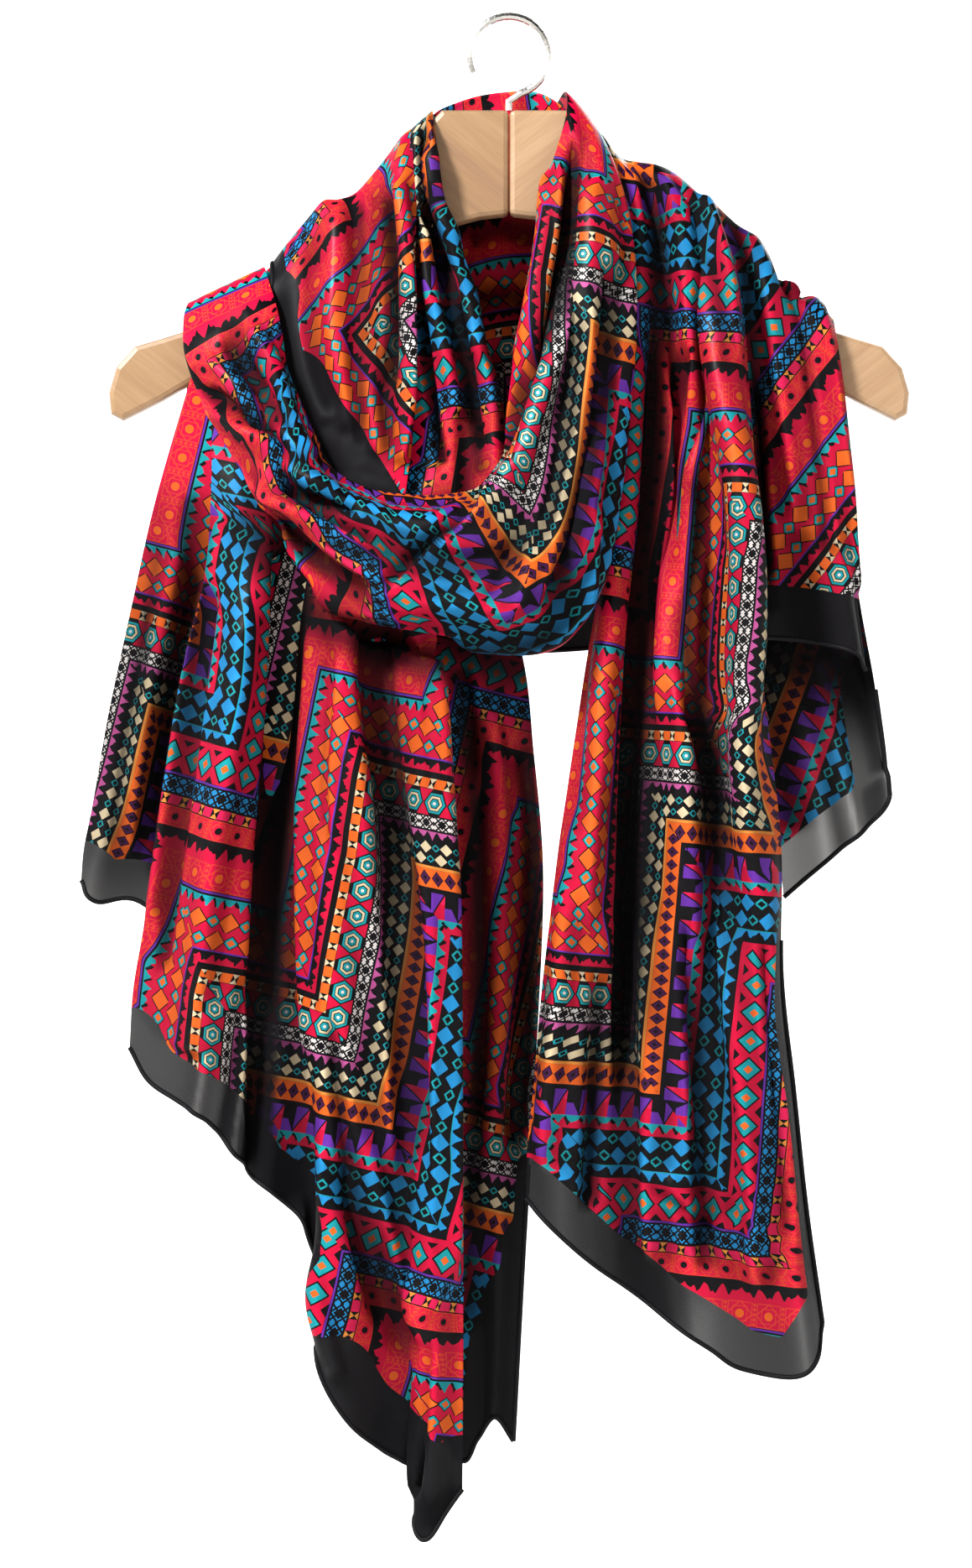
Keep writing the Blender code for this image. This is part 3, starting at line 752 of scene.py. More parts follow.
# The stretches of the scarf. A section is its left and right ends and how far it stands out
# between them. The turn and shift lay the print on it, and flat is its cut size in metres.
# Each row of single is a place in x and z, its reach and the share that comes through there.
# A stretch's shade rows are painted shade and painted shadows: along each line the colour darkens towards
# near black, in folds, under the cowl and the flap, and over layers that lie behind others.
neckBack = {
    "name": "neckBackCloth", "node": "neck_back", "cells": (60, 60), "turn": 0, "shift": (300, 420),
    "flat": (0.105, 0.175), "restsOn": [leftArm, rightArm],
    "sections": [
        ((-40, 9, -48.5), (31, 9, -48.5), -20),
        ((-43, 10, -62.5), (36.5, 10, -62.5), -24),
        ((-44, 11, -92.5), (39.5, 12, -92), -27),
        ((-43, 12, -132.5), (40.5, 13, -132.5), -26),
        ((-41, 13, -172.5), (40.5, 14, -172.5), -24),
        ((-39, 14, -207), (37.5, 14, -207), -22),
    ],
    "folds": [
        (0.5, 0.5, 0.3, 2.5, 0.0, 0.25),
        (0.3, 0.2, 0.2, -2.5, 0.3, 1.0),
        (0.7, 0.8, 0.2, 2.5, 0.3, 1.0),
    ],
    "top": [
        (-40, -47), (-34, -40), (-27, -35.5), (-15, -31), (-1, -29), (12, -29.5), (22, -35), (31, -45),
    ],
    "creases": [
        ([(-19, -101), (-3, -96), (13, -101)], 5, 7, -4),
        ([(-21, -112), (-3, -109), (13, -113)], 5, 5, 3),
        ([(-19, -127), (-3, -125), (12, -128)], 4, 6, -5),
    ],
    "shade": [
        ([(-25, -95), (-3, -92), (22, -97)], 12, 12, 0.75, 0, 0),
        ([(-19, -132), (-3, -128), (13, -134)], 16, 16, 0.8, 0, 0),
        ([(-15, -156), (-3, -176), (9, -197)], 18, 18, 0.75, 0.1, 0),
    ],
}
neckLeft = {
    "name": "neckLeftCloth", "node": "neck_left", "cells": (46, 130), "turn": 8, "shift": (40, 300),
    "flat": (0.048, 0.21), "restsOn": [leftArm],
    "sections": [
        ((-48.5, 9.5, -57.5), (-42.5, 9, -50.5), 0),
        ((-46.5, 3, -51.5), (-37, 3, -43), 1),
        ((-47, -8, -59.5), (-36, -8, -49.5), 1),
        ((-47.5, -9, -71.5), (-34, -11, -65), 2),
        ((-47.5, -10.5, -87.5), (-31, -13, -86), 3),
        ((-47.5, -12, -116), (-25, -16, -114.5), 3),
        ((-47.5, -15, -152), (-13, -19, -150.5), 4),
        ((-48.5, -20, -188), (-3, -24, -186.5), 4),
        ((-51.5, -28, -240), (-1, -31, -234), 2),
    ],
    "folds": [
        (0.80, 0.88, 0.16, 4, 0.15, 1.0),
        (0.50, 0.62, 0.14, -4, 0.2, 1.0),
        (0.28, 0.38, 0.18, 3, 0.2, 0.9),
    ],
    "creases": [
        ([(-40, -87), (-35, -109), (-27, -133), (-22, -153), (-18, -180),
         (-14, -210)], 4, 4, -8, 0.08, 0.05),
        ([(-38, -58), (-34, -89), (-23, -117), (-18, -141), (-13, -168)], 5, 4, 4.5),
        ([(-42, -97), (-38, -129), (-31, -160), (-25, -192)], 5, 5, 4.5, 0.1, 0.05),
        ([(-45, -93), (-43, -129), (-40, -160), (-35, -192), (-31, -216)], 4, 4, -6, 0.1, 0.05),
    ],
    "shade": [
        ([(-39, -73), (-35, -101), (-28, -129), (-23, -153), (-19, -180), (-14, -216)], 5, 6, 0.8, 0.1, 0),
        ([(-19, -113), (-13, -137), (-7, -164), (-3, -200)], 6, 9, 0.7, 0.1, 0),
        ([(-66, -232), (-42, -232), (-19, -228)], 12, 12, 0.5),
    ],
}
shoulderLeft = {
    "name": "shoulderLeftCloth", "node": "shoulder_left", "cells": (80, 110),
    "turn": -22, "shift": (150, 160), "flat": (0.085, 0.165), "even": 0.6, "restsOn": [leftArm],
    "free": [("left", 0.0, 0.35, 0.45), ("left", 0.35, 0.65, 0.8), ("left", 0.65, 1.0, 1.2)],
    "sections": [
        ((-111.5, 9.5, -122.5), (-45, 9.5, -61), 0),
        ((-113, 3, -115.5), (-44, 3, -52), 1),
        ((-112.5, -8.5, -126), (-44, -12, -70), 2),
        ((-113.5, -12, -147.5), (-44, -18, -101), 4),
        ((-109, -15, -169.5), (-45.5, -23, -135), 5),
        ((-99, -20, -192), (-45.5, -27, -165), 4),
        ((-85, -25, -214), (-45.5, -32, -200), 3),
        ((-71, -31, -238), (-50, -35, -240), 1),
    ],
    "folds": [
        (0.42, 0.45, 0.16, 3, 0.1, 0.8),
        (0.68, 0.70, 0.14, -3, 0.15, 0.9),
        (0.90, 0.88, 0.12, 3, 0.15, 0.9),
    ],
    "crest": [
        (-113, -115.5), (-105, -105), (-97, -95.5), (-89, -86.5), (-81.5, -86), (-73.5, -82.5),
        (-66, -74.5), (-58, -64.5), (-51, -55), (-44, -50),
    ],
    "creases": [
        ([(-52, -76), (-49, -113), (-47, -153), (-48, -192), (-50, -216)], 7, 5, 5.5, 0.08, 0.05),
        ([(-57, -80), (-55, -113), (-54, -145), (-56, -181)], 5, 5, -6),
        ([(-66, -80), (-64, -113), (-62, -145), (-64, -181), (-61, -212)], 7, 7, 2.5, 0.1, 0.05),
        ([(-74, -84), (-72, -113), (-72, -145), (-72, -177), (-68, -208)], 6, 6, -2.5),
        ([(-83, -86), (-81, -113), (-83, -141), (-80, -169), (-74, -200)], 9, 9, 2, 0.1, 0.05),
        ([(-92, -97), (-91, -125), (-92, -149), (-89, -169), (-81, -192)], 8, 9, -1.5),
        ([(-102, -109), (-101, -133), (-99, -153), (-93, -173), (-84, -196)], 9, 9, 1, 0.1, 0.05),
    ],
    "shade": [
        ([(-56, -90), (-54, -121), (-53, -153), (-54, -184)], 3, 4, 0.6),
        ([(-84, -228), (-70, -228), (-54, -232)], 16, 12, 0.6),
        ([(-108, -125), (-103, -165), (-94, -196), (-82, -224)], 8, 6, 0.5, 0.1, 0),
    ],
}
cowl = {
    "name": "cowlCloth", "node": "cowl", "cells": (96, 280), "curl": 0.6, "turn": 0, "shift": (80, 60),
    "flat": (0.105, 0.53), "area": 0.041, "even": 1.0, "restsOn": [leftArm, rightArm],
    "sections": [
        ((21.5, 31, -37.5), (41.5, 24, -54), 0),
        ((27, 9, -32.5), (38.5, 8, -44.5), 3),
        ((27, -9, -47.5), (47, -13, -64), 4),
        ((19.5, -16, -74.5), (55, -21, -89.5), 10),
        ((13.5, -22, -102.5), (59, -28, -118), 14),
        ((7.5, -26, -131.5), (59.5, -33, -152), 17),
        ((2, -30, -165.5), (56.5, -37, -189.5), 19),
        ((-3, -33, -198), (52.5, -40, -227), 21),
        ((-12, -36, -223), (44.5, -43, -269.5), 24),
        ((-28.5, -38, -229), (23, -45, -300.5), 27),
        ((-50, -39, -229), (-13, -45, -303.5), 28),
        ((-69.5, -37, -225), (-49, -45, -295), 26),
        ((-86.5, -34, -213), (-81, -43, -281), 22),
        ((-96.5, -30, -195), (-106, -39, -253.5), 18),
        ((-103.5, -26, -175), (-124, -33, -220.5), 14),
        ((-107, -22, -152.5), (-142, -26, -189.5), 10),
        ((-110, -19, -138.5), (-152.5, -19, -164), 6),
        ((-113.5, -12, -127.5), (-154.5, -9, -145), 3),
        ((-117, 3, -117.5), (-153, 3, -134.5), 1),
        ((-119.5, 9.5, -123.5), (-152, 9.5, -140), 0),
    ],
    "folds": [
        (0.22, 0.30, 0.15, 4, 0.08, 0.85),
        (0.42, 0.48, 0.14, -5, 0.08, 0.90),
        (0.62, 0.66, 0.15, 4, 0.08, 0.85),
        (0.85, 0.84, 0.12, -3, 0.10, 0.80),
    ],
    "creases": [
        ([(28, -55), (29, -82), (27, -109), (22, -132), (15, -156), (8, -175), (-1, -203),
         (-14, -224)], 5, 5, -11, 0.08, 0.25),
        ([(19, -70), (17, -97), (14, -125), (9, -148), (3, -171)], 5, 4, 4, 0.1, 0.2),
        ([(37, -74), (37, -101), (34, -129), (25, -156), (15, -183), (7, -210), (-6, -230),
         (-26, -241), (-50, -244)], 8, 9, 6, 0.08, 0.25),
        ([(-61, -278), (-50, -266), (-34, -252), (-18, -238), (-8, -226)], 3, 7, -5, 0.15, 0.25),
        ([(48, -117), (46, -144), (45, -171), (40, -199), (34, -222), (29, -249), (25, -273),
         (13, -292)], 9, 8, -11, 0.1, 0.15),
        ([(41, -234), (39, -257), (36, -281), (20, -298)], 3.5, 4, 3, 0.2, 0.2),
        ([(23, -187), (16, -218), (11, -249), (5, -277), (-7, -292)], 6, 8, 3.5, 0.2, 0.2),
        ([(1, -249), (-5, -269), (-15, -286)], 5, 5, -3, 0.3, 0.3),
        ([(-124, -219), (-108, -233), (-89, -246), (-69, -255), (-53, -258)], 5, 5, 6, 0.2, 0.3),
        ([(-118, -234), (-102, -250), (-87, -263), (-73, -273), (-58, -276)], 7, 8, -10, 0.2, 0.3),
        ([(-106, -269), (-85, -279), (-61, -284), (-34, -288)], 6, 6, 5, 0.2, 0.3),
        ([(-102, -279), (-73, -292), (-42, -298), (-15, -302)], 4, 5, -6, 0.2, 0.2),
        ([(-108, -225), (-95, -231), (-81, -237), (-68, -239)], 4, 5, -6, 0.25, 0.25),
        ([(-144, -182), (-124, -199), (-104, -214), (-89, -225), (-76, -230)], 8, 6, 6, 0.15, 0.3),
        ([(-145, -176), (-134, -185), (-119, -197), (-108, -205)], 4, 5, -6, 0.2, 0.3),
        ([(-148, -161), (-135, -171), (-120, -185), (-104, -203), (-91, -218)], 6, 6, 2.5, 0.2, 0.2),
        ([(-136, -154), (-124, -168), (-113, -183), (-100, -203)], 6, 6, -3, 0.15, 0.2),
        ([(-124, -146), (-115, -160), (-107, -175), (-98, -195), (-89, -214)], 6, 6, 3, 0.15, 0.1),
        ([(-143, -210), (-139, -226), (-131, -244), (-120, -261)], 6, 6, -4, 0.2, 0.3),
        ([(-153, -195), (-150, -214), (-143, -234)], 5, 5, 2.5, 0.2, 0.3),
        ([(-42, -249), (-19, -255), (5, -249)], 8, 8, 2.5, 0.3, 0.3),
        ([(-50, -273), (-26, -277), (-3, -273)], 6, 6, -2.5, 0.3, 0.3),
    ],
    "shade": [
        ([(47, -129), (45, -164), (41, -199), (34, -230), (27, -257), (20, -281)], 8, 10, 0.8),
        ([(32, -58), (31, -90), (28, -121), (23, -152)], 3, 4, 0.55),
        ([(-139, -218), (-124, -249), (-104, -273), (-73, -290), (-34, -302), (5, -302),
         (32, -288)], 8, 10, 0.85, 0.15, 0.1),
        ([(-118, -234), (-102, -250), (-87, -263), (-69, -269)], 7, 9, 0.7, 0.2, 0.3),
        ([(-73, -234), (-50, -249), (-26, -249)], 5, 4, 0.35, 0.2, 0.2),
        ([(-150, -164), (-145, -177), (-135, -195)], 4, 5, 0.4, 0.2, 0.3),
    ],
}
tailLeft = {
    "name": "tailLeftCloth", "node": "tail_left", "cells": (160, 180), "turn": 12, "shift": (0, 0),
    "flat": (0.22, 0.45), "area": 0.078, "restsOn": [leftArm],
    "free": [("end", 0.0, 0.44, 1.0), ("end", 0.44, 0.58, 0.3), ("end", 0.58, 1.0, 1.35)],
    "hangs": True, "film": 0.07, "single": [(-165, -495, 75, 0.28)],
    "sections": [
        ((-140.5, -17, -194.5), (-42.5, -32, -272), 1),
        ((-140.5, -21, -225), (-36.5, -32, -288), 3),
        ((-143, -24, -263.5), (-30.5, -34, -312), 5),
        ((-154, -26, -318.5), (-26.5, -38, -370), 7),
        ((-163.5, -27, -374), (-24.5, -40, -440), 7),
        ((-171.5, -27, -427), (-22.5, -38, -522.5), 5),
        ((-177.5, -26, -460.5), (-22, -36, -609), 4),
        ((-179.5, -25, -488), (-22.5, -34, -692), 2),
    ],
    "folds": [
        (0.22, 0.18, 0.20, 9, 0.05, 1.0),
        (0.40, 0.42, 0.14, -12, 0.05, 1.0),
        (0.58, 0.58, 0.12, 6, 0.08, 1.0),
        (0.75, 0.72, 0.11, -7, 0.08, 1.0),
        (0.92, 0.88, 0.11, 8, 0.18, 1.0),
    ],
    "hem": [
        (-178.5, -488), (-169, -503), (-154.5, -512), (-140, -521), (-127, -537.5),
        (-114, -553), (-102.5, -566.5), (-95, -584), (-91, -613.5), (-86.5, -641),
        (-74, -663), (-60, -677), (-46, -687.5), (-44, -711), (-38.5, -715.5), (-30.5, -705),
        (-22, -694),
    ],
    "creases": [
        ([(-85, -461), (-80, -504), (-74, -547), (-67, -586), (-59, -625)], 7, 6, -6, 0.2, 0.15),
        ([(-100, -555), (-95, -582), (-88, -614), (-79, -645)], 7, 7, 5, 0.15, 0.1),
        ([(-121, -441), (-126, -480), (-132, -515), (-136, -539)], 7, 7, -5, 0.2, 0.05),
        ([(-136, -461), (-142, -496), (-147, -523)], 7, 7, 4, 0.2, 0.05),
        ([(-38, -610), (-40, -641), (-43, -672), (-47, -700)], 6, 6, -5, 0.2, 0.1),
        ([(-103, -249), (-104, -288), (-106, -331), (-109, -366), (-112, -406), (-114, -445),
         (-115, -484), (-118, -519), (-122, -555)], 9, 10, -17, 0.04, 0.0),
        ([(-91, -280), (-93, -319), (-96, -362), (-96, -406), (-95, -453), (-91, -504)], 6, 5, 5),
        ([(-85, -296), (-86, -327), (-88, -362), (-86, -402)], 4, 5, -4, 0.15, 0.2),
        ([(-121, -272), (-125, -319), (-132, -366), (-139, -413), (-144, -461),
         (-150, -492)], 14, 10, 7, 0.1, 0.05),
        ([(-139, -264), (-144, -304), (-149, -343), (-154, -382), (-159, -421),
         (-164, -461)], 6, 6, -5),
        ([(-147, -264), (-152, -308), (-157, -347), (-163, -390), (-169, -433)], 5, 5, 3.5),
        ([(-59, -272), (-62, -308), (-59, -343), (-54, -382), (-48, -425), (-45, -468),
         (-43, -519), (-40, -570)], 12, 9, -9, 0.1, 0.15),
        ([(-74, -331), (-70, -374), (-66, -421), (-61, -468), (-57, -519),
         (-53, -578)], 9, 9, 6, 0.15, 0.2),
        ([(-36, -300), (-33, -343), (-30, -386), (-26, -433), (-26, -488), (-26, -547),
         (-27, -610)], 8, 5, 6.5, 0.08, 0.1),
        ([(-81, -281), (-67, -291), (-46, -299), (-26, -304)], 5, 8, -8, 0.2, 0.1),
        ([(-85, -531), (-72, -566), (-57, -606), (-45, -641)], 10, 10, -7, 0.2, 0.2),
        ([(-70, -519), (-61, -559), (-48, -598), (-36, -633)], 8, 8, 5.5, 0.2, 0.2),
    ],
    "shade": [
        ([(-100, -241), (-101, -280), (-104, -319), (-107, -366), (-109, -413), (-110, -461),
         (-112, -500), (-114, -531), (-109, -566)], 14, 11, 0.95, 0.02, 0.0),
        ([(-121, -241), (-109, -268), (-89, -288), (-62, -302), (-26, -311)], 16, 22, 0.85, 0.0, 0.0),
        ([(-140, -233), (-146, -272), (-151, -319), (-158, -366)], 8, 6, 0.45, 0.1, 0.3),
        ([(-121, -519), (-111, -541), (-100, -559)], 12, 14, 0.6, 0.1, 0),
        ([(-54, -319), (-51, -351), (-45, -390)], 8, 8, 0.45, 0.1, 0.3),
        ([(-25, -351), (-23, -410), (-22, -468), (-22, -527)], 5, 3, 0.4),
        ([(-81, -519), (-70, -563), (-54, -610), (-46, -645)], 6, 9, 0.35, 0.2, 0.2),
        ([(-44, -701), (-35, -704), (-26, -701)], 16, 14, 0.8, 0, 0),
    ],
}
tailLeftBack = {
    "name": "tailLeftBackCloth", "node": "tail_left_back", "cells": (110, 120),
    "turn": 14, "shift": (-120, 60), "flat": (0.23, 0.42), "area": 0.07, "restsOn": [leftArm],
    "free": [
        "end", ("right", 0.80, 0.86, 0.3), ("right", 0.86, 0.90, 0.6),
        ("right", 0.90, 0.94, 0.95), ("right", 0.94, 1.0, 1.25),
    ],
    "hangs": True, "film": 0.07, "single": [(-190, -405, 60, 0.30)],
    "sections": [
        ((-151, -11, -172), (-19, -15, -239), 0),
        ((-167.5, -10, -229), (5, -14, -298.5), 1),
        ((-179, -9, -279.5), (12, -12, -354), 2),
        ((-190, -8, -330), (16, -10, -406), 3),
        ((-198, -7, -374), (14, -9, -469.5), 3),
        ((-202.5, -6, -395), (8, -9, -565), 2),
        ((-204, -5, -410), (2, -8, -675.5), 1),
    ],
    "folds": [
        (0.06, 0.08, 0.08, 3, 0.1, 1.0),
        (0.18, 0.20, 0.10, -4, 0.1, 1.0),
        (0.40, 0.42, 0.12, 3, 0.1, 1.0),
        (0.84, 0.88, 0.08, 4, 0.1, 1.0),
    ],
    "hem": [
        (-203.5, -410), (-196, -420), (-172, -423), (-130.5, -473.5), (-83, -562),
        (-45, -640), (-24, -684), (-15, -675), (-7, -664), (2, -676),
    ],
    "creases": [
        ([(-24, -307), (-20, -335), (-18, -370)], 8, 7, -5, 0.1, 0.3),
        ([(-9, -323), (-5, -370), (-4, -422), (-5, -478), (-9, -533), (-15, -581)], 8, 7, 4),
        ([(-16, -362), (-14, -410), (-13, -470), (-16, -529)], 5, 6, -4),
        ([(6, -343), (11, -382), (11, -426), (8, -486), (2, -545)], 9, 5, -7),
        ([(-156, -247), (-166, -295), (-176, -350), (-182, -406)], 8, 8, 4),
        ([(-146, -255), (-156, -311), (-164, -366), (-169, -414)], 6, 6, -4),
        ([(-168, -271), (-175, -311), (-183, -358), (-188, -398)], 6, 6, -3),
    ],
    "shade": [
        ([(-27, -295), (-7, -307), (17, -311)], 24, 30, 0.9, 0, 0),
        ([(-7, -311), (-3, -390), (-3, -490), (-7, -589), (-13, -669)], 40, 40, 0.4, 0, 0),
        ([(-162, -239), (-170, -311), (-182, -390)], 44, 44, 0.42, 0, 0),
        ([(-19, -335), (-16, -390), (-16, -450), (-16, -510), (-19, -569),
         (-20, -629)], 10, 14, 0.85, 0, 0.05),
        ([(11, -335), (14, -382), (14, -430), (11, -490), (4, -549)], 14, 6, 0.75, 0, 0.1),
        ([(-152, -231), (-156, -279), (-164, -335), (-170, -390)], 6, 10, 0.7, 0, 0.1),
        ([(-166, -247), (-171, -287), (-178, -335)], 5, 5, 0.4, 0.1, 0.2),
    ],
}
tailRight = {
    "name": "tailRightCloth", "node": "tail_right", "cells": (130, 230), "turn": 5, "shift": (180, 40),
    "flat": (0.175, 0.57), "area": 0.09, "free": ["end", ("right", 0.75, 1.0, 0.55)], "restsOn": [rightArm],
    "hangs": True, "film": 0.18, "single": [(120, -632, 50, 0.27)],
    "sections": [
        ((45.5, 9.5, -58.5), (96.5, 9.5, -92.5), 0),
        ((44, 3, -53.5), (98, 3, -87.5), 1),
        ((47.5, -7.5, -61.5), (99, -8, -92.5), 1),
        ((49.5, -11.5, -74), (101, -12, -100.5), 2),
        ((53.5, -14, -120), (109, -18, -130.5), 6),
        ((55.5, -15, -167.5), (112.5, -24, -176.5), 7),
        ((51.5, -17, -231.5), (116, -30, -236), 8),
        ((39.5, -21, -289), (116.5, -34, -295.5), 8),
        ((31.5, -26, -338.5), (121, -36, -338.5), 8),
        ((23.5, -28, -393.5), (127, -36, -393.5), 8),
        ((15.5, -28, -458.5), (127.5, -34, -454), 8),
        ((11.5, -27, -505), (133.5, -32, -507.5), 6),
        ((8.5, -26, -534), (139.5, -30, -562), 4),
        ((7.5, -26, -559), (147.5, -28, -618), 3),
    ],
    "folds": [
        (0.14, 0.16, 0.16, 6, 0.30, 1.0),
        (0.34, 0.38, 0.14, -9, 0.12, 1.0),
        (0.50, 0.56, 0.12, 5, 0.12, 0.9),
        (0.64, 0.70, 0.12, -9, 0.15, 0.85),
        (0.86, 0.84, 0.16, 10, 0.10, 1.0),
    ],
    "crest": [
        (44, -54), (53, -65), (62, -67.5), (71, -69), (80, -73.5), (89, -81.5), (98, -87.5),
    ],
    "hem": [
        (7.5, -558.5), (17.5, -569), (36, -586), (55, -601.5), (74.5, -616.5), (94, -629),
        (108, -638), (130.5, -641), (142, -634), (147, -617.5),
    ],
    "creases": [
        ([(49, -75), (55, -114), (57, -157), (56, -201), (55, -240), (50, -280), (45, -319),
         (42, -358), (38, -398), (35, -441)], 9, 8, 8, 0.05, 0.1),
        ([(68, -134), (68, -169), (67, -205), (65, -240), (61, -280), (59, -319), (57, -358),
         (56, -398), (55, -437), (54, -477), (53, -520)], 7, 7, -16, 0.12, 0.12),
        ([(72, -161), (74, -201), (76, -232), (74, -272), (72, -311), (71, -351)], 4, 4, 5, 0.15, 0.2),
        ([(81, -154), (82, -177), (85, -201), (87, -224), (85, -256), (81, -288), (82, -319),
         (91, -343), (96, -374), (99, -406)], 7, 8, -13, 0.12, 0.4),
        ([(94, -169), (96, -201), (97, -232), (95, -264)], 4, 4, 3, 0.2, 0.2),
        ([(81, -77), (90, -118), (99, -161), (106, -205), (110, -248), (111, -288), (110, -327),
         (111, -366), (113, -406), (115, -445)], 10, 7, 9, 0.05, 0.25),
        ([(60, -90), (63, -126), (63, -161)], 4, 4, 3.5, 0.2, 0.3),
        ([(41, -106), (42, -142), (40, -173)], 4, 4, -3.5, 0.2, 0.3),
        ([(33, -370), (28, -414), (24, -461), (19, -508), (16, -548)], 8, 8, 6, 0.15, 0.1),
        ([(43, -445), (41, -485), (39, -528), (37, -567)], 7, 8, -8, 0.2, 0.1),
        ([(64, -422), (66, -465), (67, -508), (66, -556), (68, -595)], 9, 9, 7, 0.15, 0.1),
        ([(78, -414), (85, -461), (89, -508), (91, -556), (94, -595)], 8, 9, -8, 0.15, 0.1),
        ([(96, -406), (103, -453), (109, -504), (114, -556), (116, -611)], 10, 9, 7.5),
        ([(117, -429), (122, -481), (126, -536), (129, -587)], 7, 6, -5, 0.1, 0.15),
        ([(68, -542), (81, -556), (96, -563)], 6, 6, 4, 0.3, 0.3),
        ([(72, -556), (85, -568), (99, -572)], 4, 4, -4, 0.3, 0.3),
        ([(76, -572), (86, -583), (100, -585)], 5, 5, 3, 0.3, 0.3),
    ],
    "shade": [
        ([(71, -81), (69, -122), (68, -169), (67, -217), (65, -264), (62, -311), (60, -358),
         (59, -406), (59, -453), (57, -508)], 7, 8, 0.9, 0.06, 0.15),
        ([(86, -209), (88, -240), (85, -272), (83, -303), (90, -335), (96, -374),
         (96, -422)], 8, 9, 0.85, 0.1, 0.2),
        ([(48, -351), (53, -390), (57, -429), (61, -469), (66, -508)], 16, 20, 0.65, 0.2, 0.3),
        ([(38, -98), (39, -130), (36, -161), (39, -201), (36, -240)], 3, 3, 0.6),
        ([(94, -114), (99, -146), (100, -177)], 4, 4, 0.5, 0.1, 0.2),
        ([(117, -126), (120, -173), (122, -217), (122, -256), (121, -295)], 3, 6, 0.5),
        ([(13, -422), (17, -469), (13, -520)], 5, 5, 0.35),
        ([(33, -556), (36, -508), (33, -461)], 6, 6, 0.4, 0.1, 0.2),
        ([(76, -437), (85, -481), (90, -520)], 8, 8, 0.4, 0.2, 0.2),
    ],
}
shoulderRight = {
    "name": "shoulderRightCloth", "node": "shoulder_right", "cells": (56, 120),
    "turn": 40, "shift": (240, 100), "flat": (0.06, 0.23),
    "free": [("end", 0.0, 1.0, 1.3)], "restsOn": [rightArm],
    "hangs": True,
    "sections": [
        ((96, 9.5, -90), (152, 9.5, -147), 0),
        ((94.5, 3, -85), (154.5, 3, -141.5), 1),
        ((97, -9, -98), (155, -9, -153), 2),
        ((105, -11, -143.5), (158, -11, -179), 4),
        ((113, -13, -191.5), (161, -12, -215), 5),
        ((116, -15, -239), (163, -12, -251), 5),
        ((117, -16, -271), (166, -12, -282.5), 4),
        ((118, -16, -294.5), (170, -12, -310.5), 3),
    ],
    "folds": [
        (0.30, 0.30, 0.25, -3, 0.15, 1.0),
        (0.68, 0.70, 0.25, 4, 0.15, 1.0),
    ],
    "crest": [
        (94.5, -83), (102, -91), (110, -99), (119, -112), (128, -124), (136.5, -131.5),
        (145.5, -134.5), (154.5, -142),
    ],
    "hem": [
        (117.5, -294.5), (139.5, -296.5), (155.5, -299.5), (163.5, -303.5), (169, -310.5),
    ],
    "creases": [
        ([(114, -164), (117, -192), (119, -232), (122, -271)], 5, 6, -7, 0.25, 0.1),
        ([(112, -93), (122, -129), (128, -168), (133, -208), (136, -247)], 8, 8, 5),
        ([(128, -109), (138, -148), (143, -188), (148, -228), (150, -263)], 6, 6, -4),
        ([(142, -125), (152, -164), (157, -204), (163, -247), (165, -279)], 7, 7, 4.5),
    ],
    "shade": [
        ([(101, -87), (110, -113), (114, -152), (118, -192), (119, -232),
         (122, -279)], 5, 9, 0.85, 0.05, 0),
        ([(128, -247), (148, -251), (164, -255)], 8, 8, 0.3),
    ],
}
wingRight = {
    "name": "wingRightCloth", "node": "wing_right", "cells": (50, 120), "turn": 20, "shift": (60, 200),
    "flat": (0.055, 0.26), "free": ["end", ("right", 0.6, 1.0, 0.9)], "restsOn": [rightArm],
    "hangs": True, "film": 0.40,
    "sections": [
        ((109.5, 10, -149), (157, 10, -157), 0),
        ((113.5, 8, -205.5), (162, 9, -201), 1),
        ((117, 3, -266), (165.5, 5, -261.5), 2),
        ((122, -2, -326), (175, 1, -319), 3),
        ((126.5, -5, -378), (180, -1, -350), 2),
        ((130.5, -6, -418), (182, -2, -370), 1),
    ],
    "folds": [
        (0.30, 0.35, 0.25, 3, 0.2, 1.0),
        (0.70, 0.72, 0.22, -3, 0.2, 1.0),
    ],
    "hem": [
        (130.5, -418), (145.5, -405), (159.5, -393), (177.5, -378), (181.5, -370),
    ],
    "creases": [
        ([(141, -302), (151, -334), (161, -370), (169, -406)], 9, 9, 4),
        ([(161, -298), (171, -330), (178, -362)], 8, 8, -4),
    ],
    # painted shadow under the flap of the shoulder above, and painted shade down its left fold
    "shade": [
        ([(109, -298), (141, -306), (181, -310)], 46, 40, 0.97, 0, 0),
        ([(109, -282), (141, -286), (181, -290)], 46, 40, 0.9, 0, 0),
        ([(119, -310), (129, -350), (135, -390)], 12, 16, 0.8, 0, 0.1),
    ],
}
